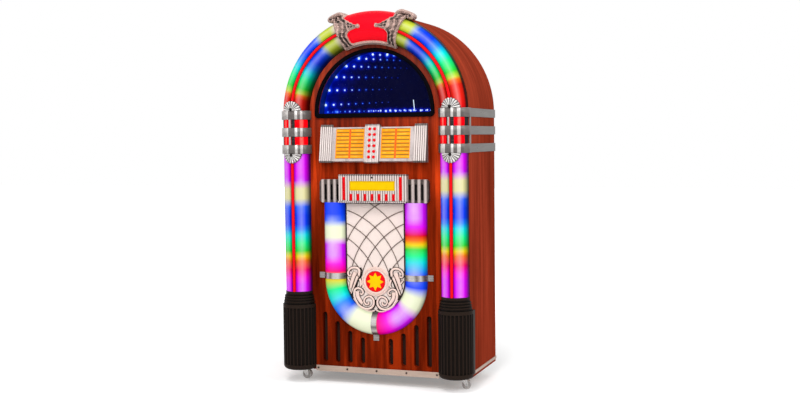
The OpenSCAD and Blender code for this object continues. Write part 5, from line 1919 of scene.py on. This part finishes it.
class JUKEBOX_OT_stage(PieceOperator):
    """Sets the pale floor, soft light and the camera"""

    bl_idname = "jukebox.stage"
    bl_label = "Stage"

    def execute(self, context):
        scene = context.scene
        scene.view_settings.view_transform = "Standard"
        self.floor()
        self.world(scene)
        self.light("Key light", (0.9, -3.0, 2.1), (0.0, 0.0, 0.8), 1.6, 44.0)
        self.light("Top light", (0.2, -2.8, 4.3), (0.0, 0.0, 0.7), 1.4, 80.0)
        self.light("Fill light", (4.0, -1.2, 3.1), (0.0, 0.0, 0.7), 3.0, 94.0)
        self.light("Left light", (-4.0, -1.8, 2.6), (0.0, 0.0, 0.7), 3.0, 50.0)
        self.light("Back light", (0.5, 4.0, 3.4), (0.0, 0.0, 0.7), 3.0, 45.0)
        data = bpy.data.cameras.new("Camera")
        data.sensor_fit = "HORIZONTAL"
        data.sensor_width = 36.0
        data.lens = 50.41
        data.clip_end = 100.0
        camera = bpy.data.objects.new("Camera", data)
        scene.collection.objects.link(camera)
        ahead = Vector((-0.34059328, 0.93856995, -0.05552173)).normalized()
        right = ahead.cross(Vector((0.0, 0.0, 1.0))).normalized()
        up = right.cross(ahead)
        roll = math.radians(-0.6227)
        across = math.cos(roll) * right + math.sin(roll) * up
        upward = -math.sin(roll) * right + math.cos(roll) * up
        turned = Matrix((across, upward, -ahead)).transposed().to_4x4()
        camera.matrix_world = Matrix.Translation(CAMERA) @ turned
        scene.camera = camera
        return {"FINISHED"}

    def light(self, name, place, target, size, power):
        """A round soft light aimed at a target."""
        data = bpy.data.lights.new(name, "AREA")
        data.shape = "DISK"
        data.size = size
        data.energy = power
        lamp_object = bpy.data.objects.new(name, data)
        lamp_object.location = place
        lamp_object.rotation_euler = (Vector(target) - Vector(place)).to_track_quat("-Z", "Y").to_euler()
        bpy.context.scene.collection.objects.link(lamp_object)

    def floor(self):
        """Wide pale floor that whitens away from the object."""
        mesh = bpy.data.meshes.new("floor")
        mesh.from_pydata([(-14, -14, 0), (14, -14, 0), (14, 14, 0), (-14, 14, 0)], [], [(0, 1, 2, 3)])
        shade = Shade("Pale floor")
        far = shade.add("ShaderNodeVectorMath", operation="LENGTH")
        shade.join(shade.place(), far.inputs[0])
        # The floor's camera-only emission is painted light: it rises from 0.26 at half a metre from the
        # origin to 1 at 2.6 metres, so the floor is darker round the object and white far off
        rise = shade.add("ShaderNodeMapRange")
        for key, value in (("From Min", 0.5), ("From Max", 2.6), ("To Min", 0.26), ("To Max", 1.0)):
            rise.inputs[key].default_value = value
        shade.join(far.outputs["Value"], rise.inputs["Value"])
        seen = shade.add("ShaderNodeLightPath").outputs["Is Camera Ray"]
        shade.set(Base_Color=grey(0.86), Roughness=0.9, Specular_IOR_Level=0.0)
        shade.set(Emission_Color=grey(1.0), Emission_Strength=shade.times(seen, rise.outputs["Result"]))
        mesh.materials.append(shade.material)
        floor = bpy.data.objects.new("floor", mesh)
        bpy.context.scene.collection.objects.link(floor)

    def world(self, scene):
        """White where it is seen or mirrored, and dimmer as light."""
        world = bpy.data.worlds.new("Studio")
        scene.world = world
        world.use_nodes = True
        tree = world.node_tree
        tree.nodes.clear()
        output = tree.nodes.new("ShaderNodeOutputWorld")
        blend = tree.nodes.new("ShaderNodeMixShader")
        for place, strength in ((1, 0.36), (2, 1.0)):
            light = tree.nodes.new("ShaderNodeBackground")
            light.inputs["Color"].default_value = grey(1.0)
            light.inputs["Strength"].default_value = strength
            tree.links.new(light.outputs[0], blend.inputs[place])
        rays = tree.nodes.new("ShaderNodeLightPath").outputs
        seen = rays["Is Camera Ray"]
        for kind in ("Is Glossy Ray", "Is Transmission Ray"):
            either = tree.nodes.new("ShaderNodeMath")
            either.operation = "MAXIMUM"
            tree.links.new(seen, either.inputs[0])
            tree.links.new(rays[kind], either.inputs[1])
            seen = either.outputs[0]
        tree.links.new(seen, blend.inputs["Fac"])
        tree.links.new(blend.outputs[0], output.inputs["Surface"])


OPERATORS = (
    JUKEBOX_OT_cabinet,
    JUKEBOX_OT_casters,
    JUKEBOX_OT_light_tubes,
    JUKEBOX_OT_clamps,
    JUKEBOX_OT_crown,
    JUKEBOX_OT_window,
    JUKEBOX_OT_selector,
    JUKEBOX_OT_console,
    JUKEBOX_OT_bowl,
    JUKEBOX_OT_grille,
    JUKEBOX_OT_vents,
    JUKEBOX_OT_stage,
)


class JUKEBOX_PT_panel(bpy.types.Panel):
    """Lists the jukebox's sizes, colours and pieces"""

    bl_idname = "JUKEBOX_PT_panel"
    bl_label = "Jukebox"
    bl_space_type = "VIEW_3D"
    bl_region_type = "UI"
    bl_category = "Jukebox"

    def draw(self, context):
        layout = self.layout
        for group in (context.scene.jukebox_sizes, context.scene.jukebox_colours):
            column = layout.column(align=True)
            for key in group.__annotations__:
                column.prop(group, key)
        for operator in OPERATORS:
            layout.operator(operator.bl_idname)


CLASSES = (JukeboxSizes, JukeboxColours) + OPERATORS + (JUKEBOX_PT_panel,)


def register():
    for item in CLASSES:
        bpy.utils.register_class(item)
    bpy.types.Scene.jukebox_sizes = bpy.props.PointerProperty(type=JukeboxSizes)
    bpy.types.Scene.jukebox_colours = bpy.props.PointerProperty(type=JukeboxColours)


def unregister():
    del bpy.types.Scene.jukebox_colours
    del bpy.types.Scene.jukebox_sizes
    for item in reversed(CLASSES):
        bpy.utils.unregister_class(item)


def main():
    """Makes every piece in order."""
    register()
    bpy.ops.jukebox.cabinet()
    bpy.ops.jukebox.casters()
    bpy.ops.jukebox.light_tubes()
    bpy.ops.jukebox.clamps()
    bpy.ops.jukebox.crown()
    bpy.ops.jukebox.window()
    bpy.ops.jukebox.selector()
    bpy.ops.jukebox.console()
    bpy.ops.jukebox.bowl()
    bpy.ops.jukebox.grille()
    bpy.ops.jukebox.vents()
    bpy.ops.jukebox.stage()


if __name__ == "__main__":
    main()
